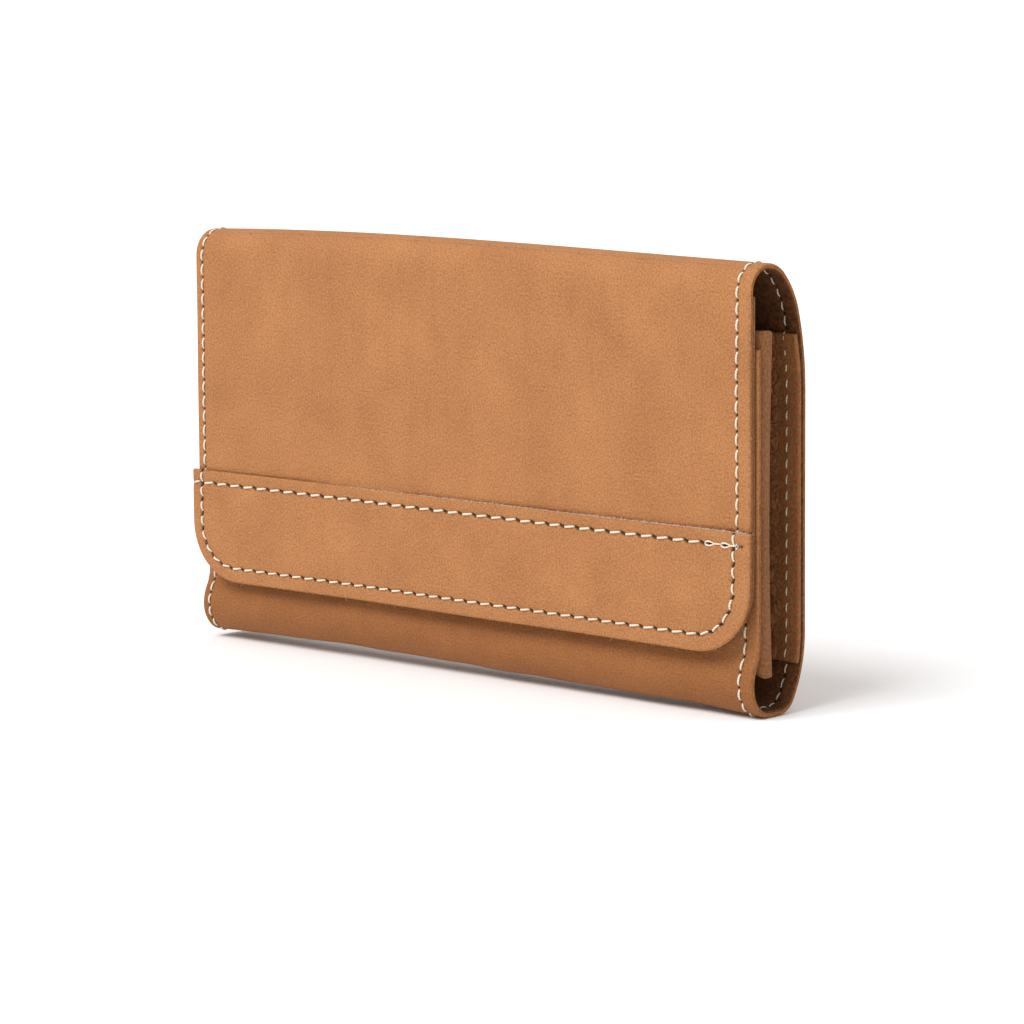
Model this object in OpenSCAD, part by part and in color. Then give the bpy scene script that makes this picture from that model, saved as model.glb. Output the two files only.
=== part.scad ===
// Long wallet with a fold-over flap, sewn from tan leather.
// The cover is one strip of hide: it starts at the top edge of the front panel, runs down the
// front, under the bottom, up the back, over the top and down the front again as the flap.
// X runs along the wallet, +Y points to the back and Z is up. Millimetres.

/* [Body] */
// Width of the cover, end to end
cover_w = 178; // [160:1:200]
// Height over the top fold, as it stands closed
wallet_h = 102; // [96:1:120]
// Thickness over the flap band and the back
wallet_d = 21.1; // [20.5:0.1:24]
// Thickness of the cover leather
cover_t = 1.4; // [1.2:0.1:1.5]
// Thickness of the gusset leather
gusset_t = 1.05; // [1:0.05:1.1]
// Height of the front panel's top edge
front_top = 83; // [80:0.5:84]

/* [Flap] */
// Thickness of the band sewn over the flap's lower end
band_t = 1.2; // [1:0.1:1.3]
// How far the band stands past the cover at each end
band_over = 1; // [0.5:0.1:2]
// Height of the flap's lower edge
flap_bottom = 14.5; // [14:0.5:20]
// Height of the band's top edge
band_top = 42.5; // [36:0.5:50]
// Radius of the flap's two lower corners
flap_corner_r = 15.5; // [8:0.5:18]
// Thickness of the flap's lining
lining_t = 0.95; // [0.8:0.05:1]

/* [Stitching] */
// Distance from one stitch to the next along the side seams
stitch_pitch = 3.63; // [3:0.05:5]
// Distance from one stitch to the next round the band
band_pitch = 4.1; // [3:0.05:5]
// Distance from one stitch to the next along the band's top edge
top_seam_pitch = 4.6; // [3:0.05:5]
// Visible length of one stitch
stitch_len = 2.5; // [1.8:0.1:2.8]
// Width of the thread
thread_w = 0.7; // [0.5:0.05:0.9]
// Depth that the thread is sunk in the leather
thread_t = 0.3; // [0.2:0.05:0.35]
// Distance of the side seams from the cover's edge
seam_inset = 3.7; // [3:0.1:4.5]
// Distance of the lowest seam from the band's lower edge
bottom_inset = 4; // [3:0.1:5]
// Distance of the band's upper seam from its top edge
top_inset = 3.1; // [2.5:0.1:4]

/* [Card slots] */
// Height of the slip pocket's top edge, with the card slots in front of it
slip_top = 72; // [66:1:72]
// Height of the highest card slot's top edge
slot_top = 64; // [58:1:64]
// Step from one card slot's edge to the next
slot_step = 11; // [9:1:14]
// Width of a card slot
slot_w = 90; // [89:0.5:92]
// Thickness of the pockets' leather
slot_t = 0.7; // [0.5:0.05:0.7]

/* [Coin zip] */
// Height of the zip's centre line
zip_z = 72; // [70:0.5:74]
// Length of the window that shows the zip
zip_len = 128; // [100:1:136]
// Distance from one tooth to the next
tooth_pitch = 3; // [2.5:0.1:4]
// Length of the pull tab
pull_len = 14; // [10:1:18]

/* [Magnets] */
// Diameter of the closing magnets
magnet_d = 12; // [8:1:14]
// Distance of each magnet from the middle
magnet_x = 40; // [20:1:60]
// Height of the magnets' centres
magnet_z = 28; // [26:1:30]

/* [Hidden] */
$fn = 48;

joint_gap = 0.16;              // left between two solids that bend apart
skive_t = 0.5;                 // how deep a magnet sinks into each leather
magnet_t = 2 * skive_t;
back_y = wallet_d / 2;         // outer face of the back
band_y = -wallet_d / 2;        // outer face of the band
flap_y = band_y + band_t;      // outer face of the flap
lining_y = flap_y + cover_t;   // face of the flap that the lining is glued to
front_y = lining_y + lining_t + 0.5;      // outer face of the front panel
front_in_y = front_y + cover_t;           // inner face of the front panel
front_lining_y = front_in_y + gusset_t;   // front face of the front lining
front_lining_t = 0.8;
compartment_y = front_lining_y + front_lining_t;  // where the bill compartment begins
seam_x = cover_w / 2 - seam_inset;

// The cover's outer face, seen from the right end, as a chain of straight runs and arcs.
// Each entry is [length, turn in degrees]; a turn to the left is positive.
function arc(r, turn) = [r * abs(turn) * PI / 180, turn];
function run(len) = [len, 0];
bulge = 2.3;                   // how far the front's foot stands out past its panel
lean_r = 11;
lean = acos(1 - bulge / (2 * lean_r));
foot_r = 8.2;
toe_r = 5.5;
heel_r = 5.8;
calf_r = 30;
shoulder_r = 69.2;
nape_r = 20;
crown_r = 8.5;
brow_r = 6.35;
foot_z = foot_r * sin(45) + toe_r * (1 - cos(45));
lean_end_z = foot_z + 2 * lean_r * sin(lean);
calf_z = heel_r * (1 - cos(60)) + calf_r * cos(60);
top_rise = shoulder_r * sin(15) + nape_r * (sin(45) - sin(15)) + crown_r * (1 - sin(45));
front_start = [front_y, front_top];
flat_len = back_y - heel_r * sin(60) - calf_r * (1 - sin(60))
    - (front_y - bulge + foot_r * (1 - cos(45)) + toe_r * sin(45));
COVER = [
    run(front_top - lean_end_z), arc(lean_r, -lean), arc(lean_r, lean),
    arc(foot_r, 45), arc(toe_r, 45), run(flat_len), arc(heel_r, 60), arc(calf_r, 30),
    run(wallet_h - top_rise - calf_z), arc(shoulder_r, 15), arc(nape_r, 30), arc(crown_r, 45),
    arc(brow_r, 90), run(wallet_h - brow_r - flap_bottom)
];

// Where a chain of runs and arcs is after distance s: [x, y, heading].
function after(seg, x, y, h, s) =
    let (turn = seg[1] * s / seg[0], r = seg[1] == 0 ? 0 : seg[0] / (seg[1] * PI / 180))
    seg[1] == 0
        ? [x + s * cos(h), y + s * sin(h), h]
        : [x + r * (sin(h + turn) - sin(h)), y - r * (cos(h + turn) - cos(h)), h + turn];
function at(path, x, y, h, s, i = 0) =
    s <= path[i][0] || i == len(path) - 1
        ? after(path[i], x, y, h, s)
        : let (e = after(path[i], x, y, h, path[i][0]))
          at(path, e[0], e[1], e[2], s - path[i][0], i + 1);
function span(path, n, i = 0) = i >= n ? 0 : path[i][0] + span(path, n, i + 1);

// Distances along a chain at which its outline needs a point: the ends of every segment, and
// steps of at most 9 degrees inside an arc.
function stops(path, s0, s1) = [
    s0,
    for (i = [0:len(path) - 1])
        let (from = span(path, i), steps = max(1, ceil(abs(path[i][1]) / 9)))
        for (k = [1:steps])
            let (s = from + path[i][0] * k / steps)
            if (s > s0 + 0.05 && s < s1 - 0.05) s,
    s1
];
// A point beside the path: positive off is to the right of the heading.
function beside(p, off) = [p[0] + off * sin(p[2]), p[1] - off * cos(p[2])];
function ribbon(path, start, h, s0, s1, off0, off1) =
    let (marks = stops(path, s0, s1), n = len(marks))
    concat(
        [for (s = marks) beside(at(path, start[0], start[1], h, s), off0)],
        [for (i = [n - 1:-1:0]) beside(at(path, start[0], start[1], h, marks[i]), off1)]
    );

function cover_at(s) = at(COVER, front_start[0], front_start[1], -90, s);
s_foot = span(COVER, 4);                                  // bottom fold's bending line
s_back = span(COVER, 8);                                  // where the back runs straight up
s_nape = span(COVER, 10) + COVER[10][0] / 2;              // first bending line of the top fold
s_crown = span(COVER, 12);                                // second, on the very top
s_brow = s_crown + COVER[12][0] * 2 / 3;                  // third, above the flap
s_flap = span(COVER, 13);                                 // where the flap runs straight down
s_end = span(COVER, 14);
function s_at_back(z) = s_back + z - calf_z;              // holds on the straight of the back

// A layer that follows the cover between distances s0 and s1, from depth d0 to depth d1 below
// the outer face, and from x0 to x1.
module layer(s0, s1, d0, d1, x0, x1)
    translate([x0, 0, 0])
        rotate([90, 0, 90])
            linear_extrude(x1 - x0)
                polygon(ribbon(COVER, front_start, -90, s0, s1, -d0, -d1));

module both_sides() {
    children();
    mirror([1, 0, 0])
        children();
}

// The grooves that both side seams lie in, and the stitches in them.
module side_groove(s0, s1)
    both_sides()
        layer(s0, s1, -0.1, thread_t, seam_x - thread_w / 2, seam_x + thread_w / 2);
module side_stitches(s0, s1)
    both_sides()
        for (s = [s0:stitch_pitch:s1 - stitch_len])
            layer(s, s + stitch_len, 0, thread_t, seam_x - thread_w / 2, seam_x + thread_w / 2);

// A plate in the XZ plane with its front face at y, and two round lower corners.
module plate(w, z0, z1, y, t, r)
    translate([0, y + t, 0])
        rotate([90, 0, 0])
            linear_extrude(t)
                intersection() {
                    translate([-w / 2, z0])
                        square([w, z1 - z0]);
                    union() {
                        translate([-w / 2, z0 + r])
                            square([w, z1 - z0]);
                        translate([-w / 2 + r, z0 - 1])
                            square([w - 2 * r, z1 - z0]);
                        for (side = [-1, 1])
                            translate([side * (w / 2 - r), z0 + r])
                                circle(r, $fn = 96);
                    }
                }
module slab(x0, x1, y0, y1, z0, z1)
    translate([x0, y0, z0])
        cube([x1 - x0, y1 - y0, z1 - z0]);
module disc_y(x, z, y0, y1, d)
    translate([x, y1, z])
        rotate([90, 0, 0])
            cylinder(d = d, h = y1 - y0);
module magnet_pair(y0, y1, extra = 0)
    for (side = [-1, 1])
        disc_y(side * magnet_x, magnet_z, y0, y1, magnet_d + extra);

// One end's gusset, seen from above: it is sewn in front of the front lining, turns back round
// that lining's edge, folds in to the valley and comes out again to the cover's back.
gusset_z = [11, 86];
flange_w = 9;                  // strip sewn to the front
back_flange_w = 10;            // strip sewn to the back
turn_r = 1.45;
lobe_len = 13;                 // from the turn in to the valley
valley_r = 1.2;
rear_len = 10.5;               // from the valley out to the back
GUSSET = [
    run(flange_w - 2.5), arc(turn_r, 90), run(1.5), arc(turn_r, 80), run(lobe_len),
    arc(valley_r, -145), run(rear_len)
];
gusset_start = [cover_w / 2 - flange_w, front_in_y + gusset_t / 2];
s_gusset = [s_back - 7, span(COVER, 9) + 13.6];
module gusset_fold()
    translate([0, 0, gusset_z[0]])
        linear_extrude(gusset_z[1] - gusset_z[0])
            polygon(ribbon(GUSSET, gusset_start, 0, 0, span(GUSSET, 7),
                -gusset_t / 2, gusset_t / 2));
module gusset()
    color("sienna")
        difference() {
            union() {
                gusset_fold();
                layer(s_gusset[0], s_gusset[1], cover_t, cover_t + gusset_t,
                    cover_w / 2 - back_flange_w, cover_w / 2);
            }
            layer(s_back - 12, s_nape, cover_t - 5, cover_t, cover_w / 2 - 20, cover_w);
            slab(cover_w / 2 - 20, cover_w, front_y, front_lining_y + 0.1, front_top, wallet_h);
        }

module cover_back()
    color("peru")
        difference() {
            layer(s_foot + joint_gap / 2, s_nape - joint_gap / 2, 0, cover_t,
                -cover_w / 2, cover_w / 2);
            side_groove(s_foot - 1, s_nape + 1);
        }

module cover_front()
    color("peru")
        difference() {
            layer(0, s_foot - joint_gap / 2, 0, cover_t, -cover_w / 2, cover_w / 2);
            side_groove(3, s_foot + 1);
            magnet_pair(front_in_y - skive_t, front_in_y + 1, 0.2);
        }

module spine_rear()
    color("peru")
        difference() {
            layer(s_nape + joint_gap / 2, s_crown - joint_gap / 2, 0, cover_t,
                -cover_w / 2, cover_w / 2);
            side_groove(s_nape - 1, s_crown + 1);
        }

module spine_front()
    color("peru")
        difference() {
            layer(s_crown + joint_gap / 2, s_brow - joint_gap / 2, 0, cover_t,
                -cover_w / 2, cover_w / 2);
            side_groove(s_crown - 1, s_brow + 1);
        }

module flap_leather()
    color("peru")
        difference() {
            union() {
                layer(s_brow + joint_gap / 2, s_flap + 3, 0, cover_t,
                    -cover_w / 2, cover_w / 2);
                plate(cover_w, flap_bottom, wallet_h - brow_r - 2, flap_y, cover_t,
                    flap_corner_r);
            }
            side_groove(s_brow - 1, s_end - band_top + flap_bottom);
            magnet_pair(flap_y - 1, flap_y + skive_t, 0.2);
        }

module flap_band()
    color("peru")
        difference() {
            plate(cover_w + 2 * band_over, flap_bottom, band_top, band_y, band_t,
                flap_corner_r);
            band_bar(-1, span(BAND, 5) + 1, -0.1, 0.05);
            top_bar(-top_groove, top_groove, -0.1);
            magnet_pair(flap_y - skive_t, flap_y + 1, 0.2);
        }

module flap_lining()
    color("sienna")
        plate(cover_w, flap_bottom, wallet_h - 7.2, lining_y, lining_t, flap_corner_r);

module flap_magnets()
    color("silver")
        magnet_pair(flap_y - skive_t, flap_y + skive_t);

module front_magnets()
    color("silver")
        magnet_pair(front_in_y - skive_t, front_in_y + skive_t);

// The perimeter seam on the band: down one end, round the corner, along the bottom and up.
corner_seam_r = flap_corner_r - seam_inset - band_over;
side_len = band_top - flap_bottom - bottom_inset - corner_seam_r;
bottom_len = 2 * (seam_x - corner_seam_r);
BAND = [
    run(side_len), arc(corner_seam_r, 90), run(bottom_len), arc(corner_seam_r, 90), run(side_len)
];
module band_bar(s0, s1, sink, slack = 0)
    translate([0, band_y + thread_t, 0])
        rotate([90, 0, 0])
            linear_extrude(thread_t - sink)
                polygon(ribbon(BAND, [-seam_x, band_top], -90, s0, s1,
                    -thread_w / 2 - slack, thread_w / 2 + slack));
// The seam along the band's top edge. A needle hole falls where it crosses each side seam.
top_seam_z = band_top - top_inset;
top_stitches = round(2 * seam_x / top_seam_pitch);
top_pitch = 2 * seam_x / top_stitches;
top_groove = seam_x + (top_pitch + stitch_len) / 2 + 0.1;
module top_bar(x0, x1, sink)
    slab(x0, x1, band_y + sink, band_y + thread_t, top_seam_z - thread_w / 2,
        top_seam_z + thread_w / 2);

module flap_seam()
    color("ivory") {
        side_stitches(s_brow + 1, s_end - band_top + flap_bottom - 0.5);
        for (s = [0.6:band_pitch:span(BAND, 5) - stitch_len])
            band_bar(s, s + stitch_len, 0);
    }

module band_top_seam()
    color("ivory")
        for (i = [-1:top_stitches])
            let (x = -seam_x + (i + 0.5) * top_pitch)
            top_bar(x - stitch_len / 2, x + stitch_len / 2, 0);

module back_seam()
    color("ivory")
        side_stitches(s_foot + 1, s_nape - 0.5);

module front_seam()
    color("ivory")
        side_stitches(3.5, s_foot - 0.5);

module spine_rear_seam()
    color("ivory")
        side_stitches(s_nape + 0.6, s_crown - 0.3);

module spine_front_seam()
    color("ivory")
        side_stitches(s_crown + 0.6, s_brow - 0.3);

module gusset_left()
    mirror([1, 0, 0])
        gusset();

module gusset_right()
    gusset();

// Pockets on the inside of the back: a lining, a wide slip pocket, and in front of that the
// stepped card slots beside a narrower pocket for tickets.
lining_w = cover_w - 2 * back_flange_w - 1;
slip_w = lining_w - 2;
slots_w = 149;
pocket_foot = 18;
module pocket(x0, x1, layers, top)
    color("sienna")
        let (y = back_y - cover_t - slot_t * layers)
        slab(x0, x1, y, y + slot_t, pocket_foot, top);
module back_lining()
    color("sienna")
        layer(s_back, span(COVER, 9), cover_t, cover_t + slot_t, -lining_w / 2, lining_w / 2);
module slip_pocket()
    pocket(-slip_w / 2, slip_w / 2, 2, slip_top);
module card_slot(row)
    pocket(-slots_w / 2, -slots_w / 2 + slot_w, 2 + row, slot_top - slot_step * (row - 1));
module ticket_pocket()
    difference() {
        pocket(-slots_w / 2 + slot_w + 2, slots_w / 2, 3, slot_top - slot_step / 2);
        disc_y((slot_w + 2) / 2, slot_top - slot_step / 2 + 4, 0, back_y, 18);
    }

// The inside of the front: a lining with a window for the zip, and the coin bag behind it.
window_h = 6;
module front_lining()
    color("sienna")
        difference() {
            slab(-cover_w / 2 + 2.7, cover_w / 2 - 2.7, front_lining_y, compartment_y, 18,
                front_top - 0.5);
            slab(-zip_len / 2, zip_len / 2, front_lining_y - 1, compartment_y + 1,
                zip_z - window_h / 2, zip_z + window_h / 2);
        }

// The bag is cloth folded up from below: its front reaches above the zip, its back just under.
cloth_t = 0.2;
bag_z = 36;
bag_back_top = 66;
module coin_bag()
    color("tan")
        difference() {
            slab(-zip_len / 2 - 4, zip_len / 2 + 4, front_in_y, tape_y, bag_z, zip_z + 7.5);
            slab(-zip_len / 2 - 3, zip_len / 2 + 3, front_in_y + cloth_t, tape_y - cloth_t,
                bag_z + cloth_t, bag_back_top + 1);
            slab(-zip_len / 2 - 5, zip_len / 2 + 5, front_in_y + cloth_t, tape_y + 1,
                bag_back_top, zip_z + 9);
        }

tape_t = 0.35;
tape_y = front_lining_y - tape_t;
tooth_h = 1.35;
rail_gap = 0.5;                // free space between the two rows, for the slider's neck
tooth_w = 1.3;
tooth_t = 1.15;
module zip_tape(side)
    color("saddlebrown")
        slab(-zip_len / 2 - 4, zip_len / 2 + 4, tape_y, front_lining_y,
            side > 0 ? zip_z + rail_gap / 2 + tooth_h : zip_z - 7.5,
            side > 0 ? zip_z + 7.5 : zip_z - rail_gap / 2 - tooth_h);
module zip_tape_upper()
    zip_tape(1);
module zip_tape_lower()
    zip_tape(-1);

module zip_teeth(side)
    color("goldenrod")
        let (start = -zip_len / 2 + 3 + (side > 0 ? 0 : tooth_pitch / 2))
        for (x = [start:tooth_pitch:zip_len / 2 - 4])
            slab(x, x + tooth_w, tape_y, tape_y + tooth_t,
                side > 0 ? zip_z + rail_gap / 2 : zip_z - rail_gap / 2 - tooth_h,
                side > 0 ? zip_z + rail_gap / 2 + tooth_h : zip_z - rail_gap / 2);
module zip_teeth_upper()
    zip_teeth(1);
module zip_teeth_lower()
    zip_teeth(-1);

module zip_stops()
    color("goldenrod")
        for (side = [-1, 1])
            slab(side * (zip_len / 2 - 0.9) - 0.7, side * (zip_len / 2 - 0.9) + 0.7,
                tape_y, tape_y + tooth_t, zip_z - 1.6, zip_z + 1.6);

// The slider's two plates, its neck between the rows, and the stud that the pull hangs on.
slider_len = 8;
slider_x = zip_len / 2 - 2 - slider_len / 2;
plate_y = tape_y + tooth_t + 0.15;
slider_t = 0.6;
stud_d = 1.4;
stud_h = 1.1;
module zip_slider()
    color("goldenrod") {
        slab(slider_x - slider_len / 2, slider_x + slider_len / 2, plate_y, plate_y + slider_t,
            zip_z - 2.6, zip_z + 2.6);
        slab(slider_x - slider_len / 2, slider_x + slider_len / 2, front_in_y + cloth_t + 0.06,
            tape_y - 0.1, zip_z - 2.4, zip_z + 2.4);
        slab(slider_x + 1, slider_x + 3, tape_y - 0.2, plate_y + 0.1, zip_z - 0.15,
            zip_z + 0.15);
        disc_y(slider_x, zip_z, plate_y + slider_t - 0.1, plate_y + slider_t + stud_h, stud_d);
        disc_y(slider_x, zip_z, plate_y + slider_t + stud_h - 0.01,
            plate_y + slider_t + stud_h + 0.35, 2.4);
    }

pull_t = 0.8;
pull_y = plate_y + slider_t + 0.15;
module zip_pull()
    color("goldenrod")
        difference() {
            union() {
                disc_y(slider_x, zip_z, pull_y, pull_y + pull_t, 4);
                disc_y(slider_x, zip_z - pull_len + 2.2, pull_y, pull_y + pull_t, 4.4);
                slab(slider_x - 1.7, slider_x + 1.7, pull_y, pull_y + pull_t,
                    zip_z - pull_len + 2.2, zip_z);
            }
            disc_y(slider_x, zip_z, pull_y - 1, pull_y + pull_t + 1, stud_d + 0.16);
            disc_y(slider_x, zip_z - pull_len + 2.2, pull_y - 1, pull_y + pull_t + 1, 2);
        }

cover_back();
cover_front();
spine_rear();
spine_front();
flap_leather();
flap_band();
flap_lining();
flap_magnets();
front_magnets();
flap_seam();
band_top_seam();
back_seam();
front_seam();
spine_rear_seam();
spine_front_seam();
gusset_left();
gusset_right();
back_lining();
slip_pocket();
card_slot(1);  // card_slot_1
card_slot(2);  // card_slot_2
card_slot(3);  // card_slot_3
ticket_pocket();
front_lining();
coin_bag();
zip_tape_upper();
zip_tape_lower();
zip_teeth_upper();
zip_teeth_lower();
zip_stops();
zip_slider();
zip_pull();
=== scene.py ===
"""Long wallet: the looks of every piece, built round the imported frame.

Leather is cut flat and then folded, as it is on the bench. Every leather piece is drawn in hide
space: x along the wallet, s along the strip and d into the thickness, all in millimetres. A place
function then carries it to its folded shape, and its seams are carried along with it.
"""
import math
import random

import bmesh
import bpy
import numpy as np
from mathutils import Matrix, Vector, kdtree
from mathutils.geometry import delaunay_2d_cdt


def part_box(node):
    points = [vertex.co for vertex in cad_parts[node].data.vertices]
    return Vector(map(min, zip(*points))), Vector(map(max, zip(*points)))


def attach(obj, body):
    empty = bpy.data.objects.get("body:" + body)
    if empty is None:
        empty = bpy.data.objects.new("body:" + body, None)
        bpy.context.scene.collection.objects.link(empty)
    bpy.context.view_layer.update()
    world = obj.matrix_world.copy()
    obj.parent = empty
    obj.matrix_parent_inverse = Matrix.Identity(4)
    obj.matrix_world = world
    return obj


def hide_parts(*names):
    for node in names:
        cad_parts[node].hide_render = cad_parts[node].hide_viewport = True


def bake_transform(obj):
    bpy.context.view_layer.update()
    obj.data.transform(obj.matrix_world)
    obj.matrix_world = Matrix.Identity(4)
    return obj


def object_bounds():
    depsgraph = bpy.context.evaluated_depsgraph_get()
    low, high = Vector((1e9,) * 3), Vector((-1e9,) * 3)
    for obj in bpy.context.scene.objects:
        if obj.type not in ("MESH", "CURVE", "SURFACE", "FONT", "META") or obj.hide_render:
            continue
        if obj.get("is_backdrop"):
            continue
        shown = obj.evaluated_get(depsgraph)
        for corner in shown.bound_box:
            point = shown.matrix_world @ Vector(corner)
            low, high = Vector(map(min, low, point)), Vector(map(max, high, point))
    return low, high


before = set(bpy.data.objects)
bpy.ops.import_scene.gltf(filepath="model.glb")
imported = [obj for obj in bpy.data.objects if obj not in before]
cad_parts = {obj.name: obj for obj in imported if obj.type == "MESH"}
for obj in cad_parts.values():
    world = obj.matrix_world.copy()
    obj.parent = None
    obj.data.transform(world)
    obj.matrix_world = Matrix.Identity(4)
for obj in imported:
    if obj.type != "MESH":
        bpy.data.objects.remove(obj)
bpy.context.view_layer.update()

bl_info = {
    "name": "Long Wallet",
    "version": (1, 0, 0),
    "blender": (4, 5, 0),
    "location": "View3D > Sidebar > Wallet",
    "description": "Builds a stitched leather wallet with a fold-over flap",
    "category": "Object",
}

MM = 0.001


# ---------------------------------------------------------------- sizes read from the frame

def span(node, axis):
    """The lowest and highest place of a node along an axis, in millimetres."""
    low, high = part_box(node)
    return low[axis] / MM, high[axis] / MM


X, Y, Z = 0, 1, 2
COVER_HALF = span("cover_back", X)[1]
BAND_HALF = span("flap_band", X)[1]
BACK_Y = span("cover_back", Y)[1]
BAND_Y = span("flap_band", Y)[0]
BAND_T = 1.2
FLAP_Y = BAND_Y + BAND_T
WALLET_H = span("spine_rear", Z)[1]
FRONT_TOP = span("cover_front", Z)[1]
FLAP_BOTTOM, BAND_TOP = span("flap_band", Z)
LINING_TOP = span("flap_lining", Z)[1]
FRONT_LINING_Y = span("front_lining", Y)
COVER_T = 1.4
LINING_T = 0.95
GUSSET_T = 1.05
FRONT_Y = FLAP_Y + COVER_T + LINING_T + 0.5
CORNER_R = 15.5
SEAM_X = {-1: 2.3 - COVER_HALF, 1: COVER_HALF - 3.7}     # sewn nearer to the left edge
BAND_SEAM_Z = FLAP_BOTTOM + 4
BAND_SEAM_R = 10.8
TOP_SEAM_Z = BAND_TOP - 3.1
PITCH = 3.63                # from stitch to stitch along the side seams
BOTTOM_PITCH = 4.2          # along the band's lower edge
TOP_PITCH = 4.6             # along the band's top edge


# ---------------------------------------------------------------- the folded strip

def arc(radius, turn):
    """A link of a Chain that turns by this many degrees, anticlockwise if positive."""
    return radius * abs(turn) * math.pi / 180, turn


class Chain:
    """A line made of straight runs and arcs: each link is (length, turn in degrees)."""

    def __init__(self, start, heading, links):
        self.starts = []
        self.reach = [0.0]
        u, v, h = start[0], start[1], math.radians(heading)
        for length, turn in links:
            turn = math.radians(turn)
            self.starts.append((u, v, h, turn / length))
            if turn:
                r = length / turn
                u += r * (math.sin(h + turn) - math.sin(h))
                v -= r * (math.cos(h + turn) - math.cos(h))
            else:
                u += length * math.cos(h)
                v += length * math.sin(h)
            h += turn
            self.reach.append(self.reach[-1] + length)
        self.length = self.reach[-1]

    def at(self, s):
        """(u, v, heading) at distances s, as arrays."""
        s = np.asarray(s, float)
        i = np.clip(np.searchsorted(self.reach, s, "right") - 1, 0, len(self.starts) - 1)
        u, v, h, bend = np.array(self.starts)[i].T
        t = s - np.array(self.reach)[i]
        flat = np.abs(bend) < 1e-9
        k = np.where(flat, 1.0, bend)
        end = h + bend * t
        u = u + np.where(flat, t * np.cos(h), (np.sin(end) - np.sin(h)) / k)
        v = v + np.where(flat, t * np.sin(h), (np.cos(h) - np.cos(end)) / k)
        return u, v, end


LEAN_R, FOOT_R, TOE_R, HEEL_R, CALF_R = 11, 8.2, 5.5, 5.8, 30
SHOULDER_R, NAPE_R, CROWN_R, BROW_R = 69.2, 20, 8.5, 6.35
CALF_Z = (HEEL_R + CALF_R) / 2      # where the back's lowest arc ends and it goes straight up
BULGE = 2.3


def cover_links():
    """The strip's outer face from the front panel's top edge round to the flap's lower edge."""
    sin = lambda a: math.sin(math.radians(a))
    cos = lambda a: math.cos(math.radians(a))
    lean = math.degrees(math.acos(1 - BULGE / (2 * LEAN_R)))
    lean_end = FOOT_R * sin(45) + TOE_R * (1 - cos(45)) + 2 * LEAN_R * sin(lean)
    rise = SHOULDER_R * sin(15) + NAPE_R * (sin(45) - sin(15)) + CROWN_R * (1 - sin(45))
    heel_start = BACK_Y - HEEL_R * sin(60) - CALF_R * (1 - sin(60))
    toe_end = FRONT_Y - BULGE + FOOT_R * (1 - cos(45)) + TOE_R * sin(45)
    return [
        (FRONT_TOP - lean_end, 0), arc(LEAN_R, -lean), arc(LEAN_R, lean), arc(FOOT_R, 45),
        arc(TOE_R, 45), (heel_start - toe_end, 0), arc(HEEL_R, 60), arc(CALF_R, 30),
        (WALLET_H - rise - CALF_Z, 0), arc(SHOULDER_R, 15), arc(NAPE_R, 30), arc(CROWN_R, 45),
        arc(BROW_R, 90), (WALLET_H - BROW_R - FLAP_BOTTOM, 0),
    ]


COVER = Chain((FRONT_Y, FRONT_TOP), -90, cover_links())
S_BOTTOM = (COVER.reach[5] + COVER.reach[6]) / 2
S_NAPE = (COVER.reach[10] + COVER.reach[11]) / 2
S_CROWN = COVER.reach[12]
S_BROW = S_CROWN + 2 / 3 * (COVER.reach[13] - S_CROWN)
S_REAR = (S_NAPE + S_CROWN) / 2       # between two bends, the strip follows one body
S_FRONT = (S_CROWN + S_BROW) / 2
S_FLAP = COVER.reach[13]
S_END = COVER.length
S_BAND = S_END + FLAP_BOTTOM - BAND_TOP       # where the band's top edge lies
FRONT_SEAM_START = 3.5


def ease(t):
    """From 0 to 1 with a soft start and end."""
    t = np.clip(t, 0, 1)
    return t * t * (3 - 2 * t)


# How high the bottom fold arches along the wallet, as shares of the whole arch.
ARCH = np.polyfit([-89, -60, -20, 25, 60, 89], [0.62, 1.0, 0.92, 0.78, 0.5, 0.0], 4)


def settle(x, y, z):
    """What use has done to the wallet: its top crowns up, and its bottom arches off the table."""
    end = np.clip(1 - (x / COVER_HALF) ** 2, 0, 1)
    crown = sizes().crown / MM * end * (1 - 0.55 * x / COVER_HALF)
    arch = sizes().arch / MM * np.clip(np.polyval(ARCH, x), 0, 1)
    high = ease((z - 74) / 26)
    low = 1 - ease(z / 24)
    return x, y, z + crown * high + arch * low


def flare(x, z):
    """How far the flap's lower end stands off the front panel. It is most at the right."""
    lift = ease((58 - z) / 44)
    side = 0.35 + 0.65 * ease((x + 40) / 130)
    ripple = 0.22 * np.sin(x / 23 + 0.6) * np.sin(z / 19) + 0.12 * np.sin(x / 9.5 + z / 13)
    return sizes().flare / MM * lift * side + ripple * ease((92 - z) / 20)


def wrinkles(x, s):
    """Soft creases across the foot, where the leather was folded under, and along the back."""
    foot = ease((s - 58) / 10) * ease((92 - s) / 8)
    back = ease((s - 112) / 15) * ease((168 - s) / 15)
    inner = ease((COVER_HALF - 6 - np.abs(x)) / 14)
    creases = 0.16 * np.sin(x / 5.2 + s / 3.1 + 2 * np.sin(x / 31)) * np.sin(x / 17 + 1)
    waves = 0.35 * np.sin(x / 33 + 0.8) * np.sin(s / 21) + 0.1 * np.sin(x / 11 + s / 15)
    return inner * (foot * (creases + 0.14 * np.sin(x / 19 + s / 9)) + back * waves)


def fold(x, s, d):
    """Hide space to the wallet's own space, for the cover."""
    x, s, d = (np.asarray(a, float) for a in (x, s, d))
    u, v, h = COVER.at(s)
    d = d + wrinkles(x, s)
    y = u - d * np.sin(h)
    z = v + d * np.cos(h)
    y = y - np.where(s > S_CROWN, flare(x, z), 0)
    return np.stack(settle(x, y, z), -1)


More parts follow.
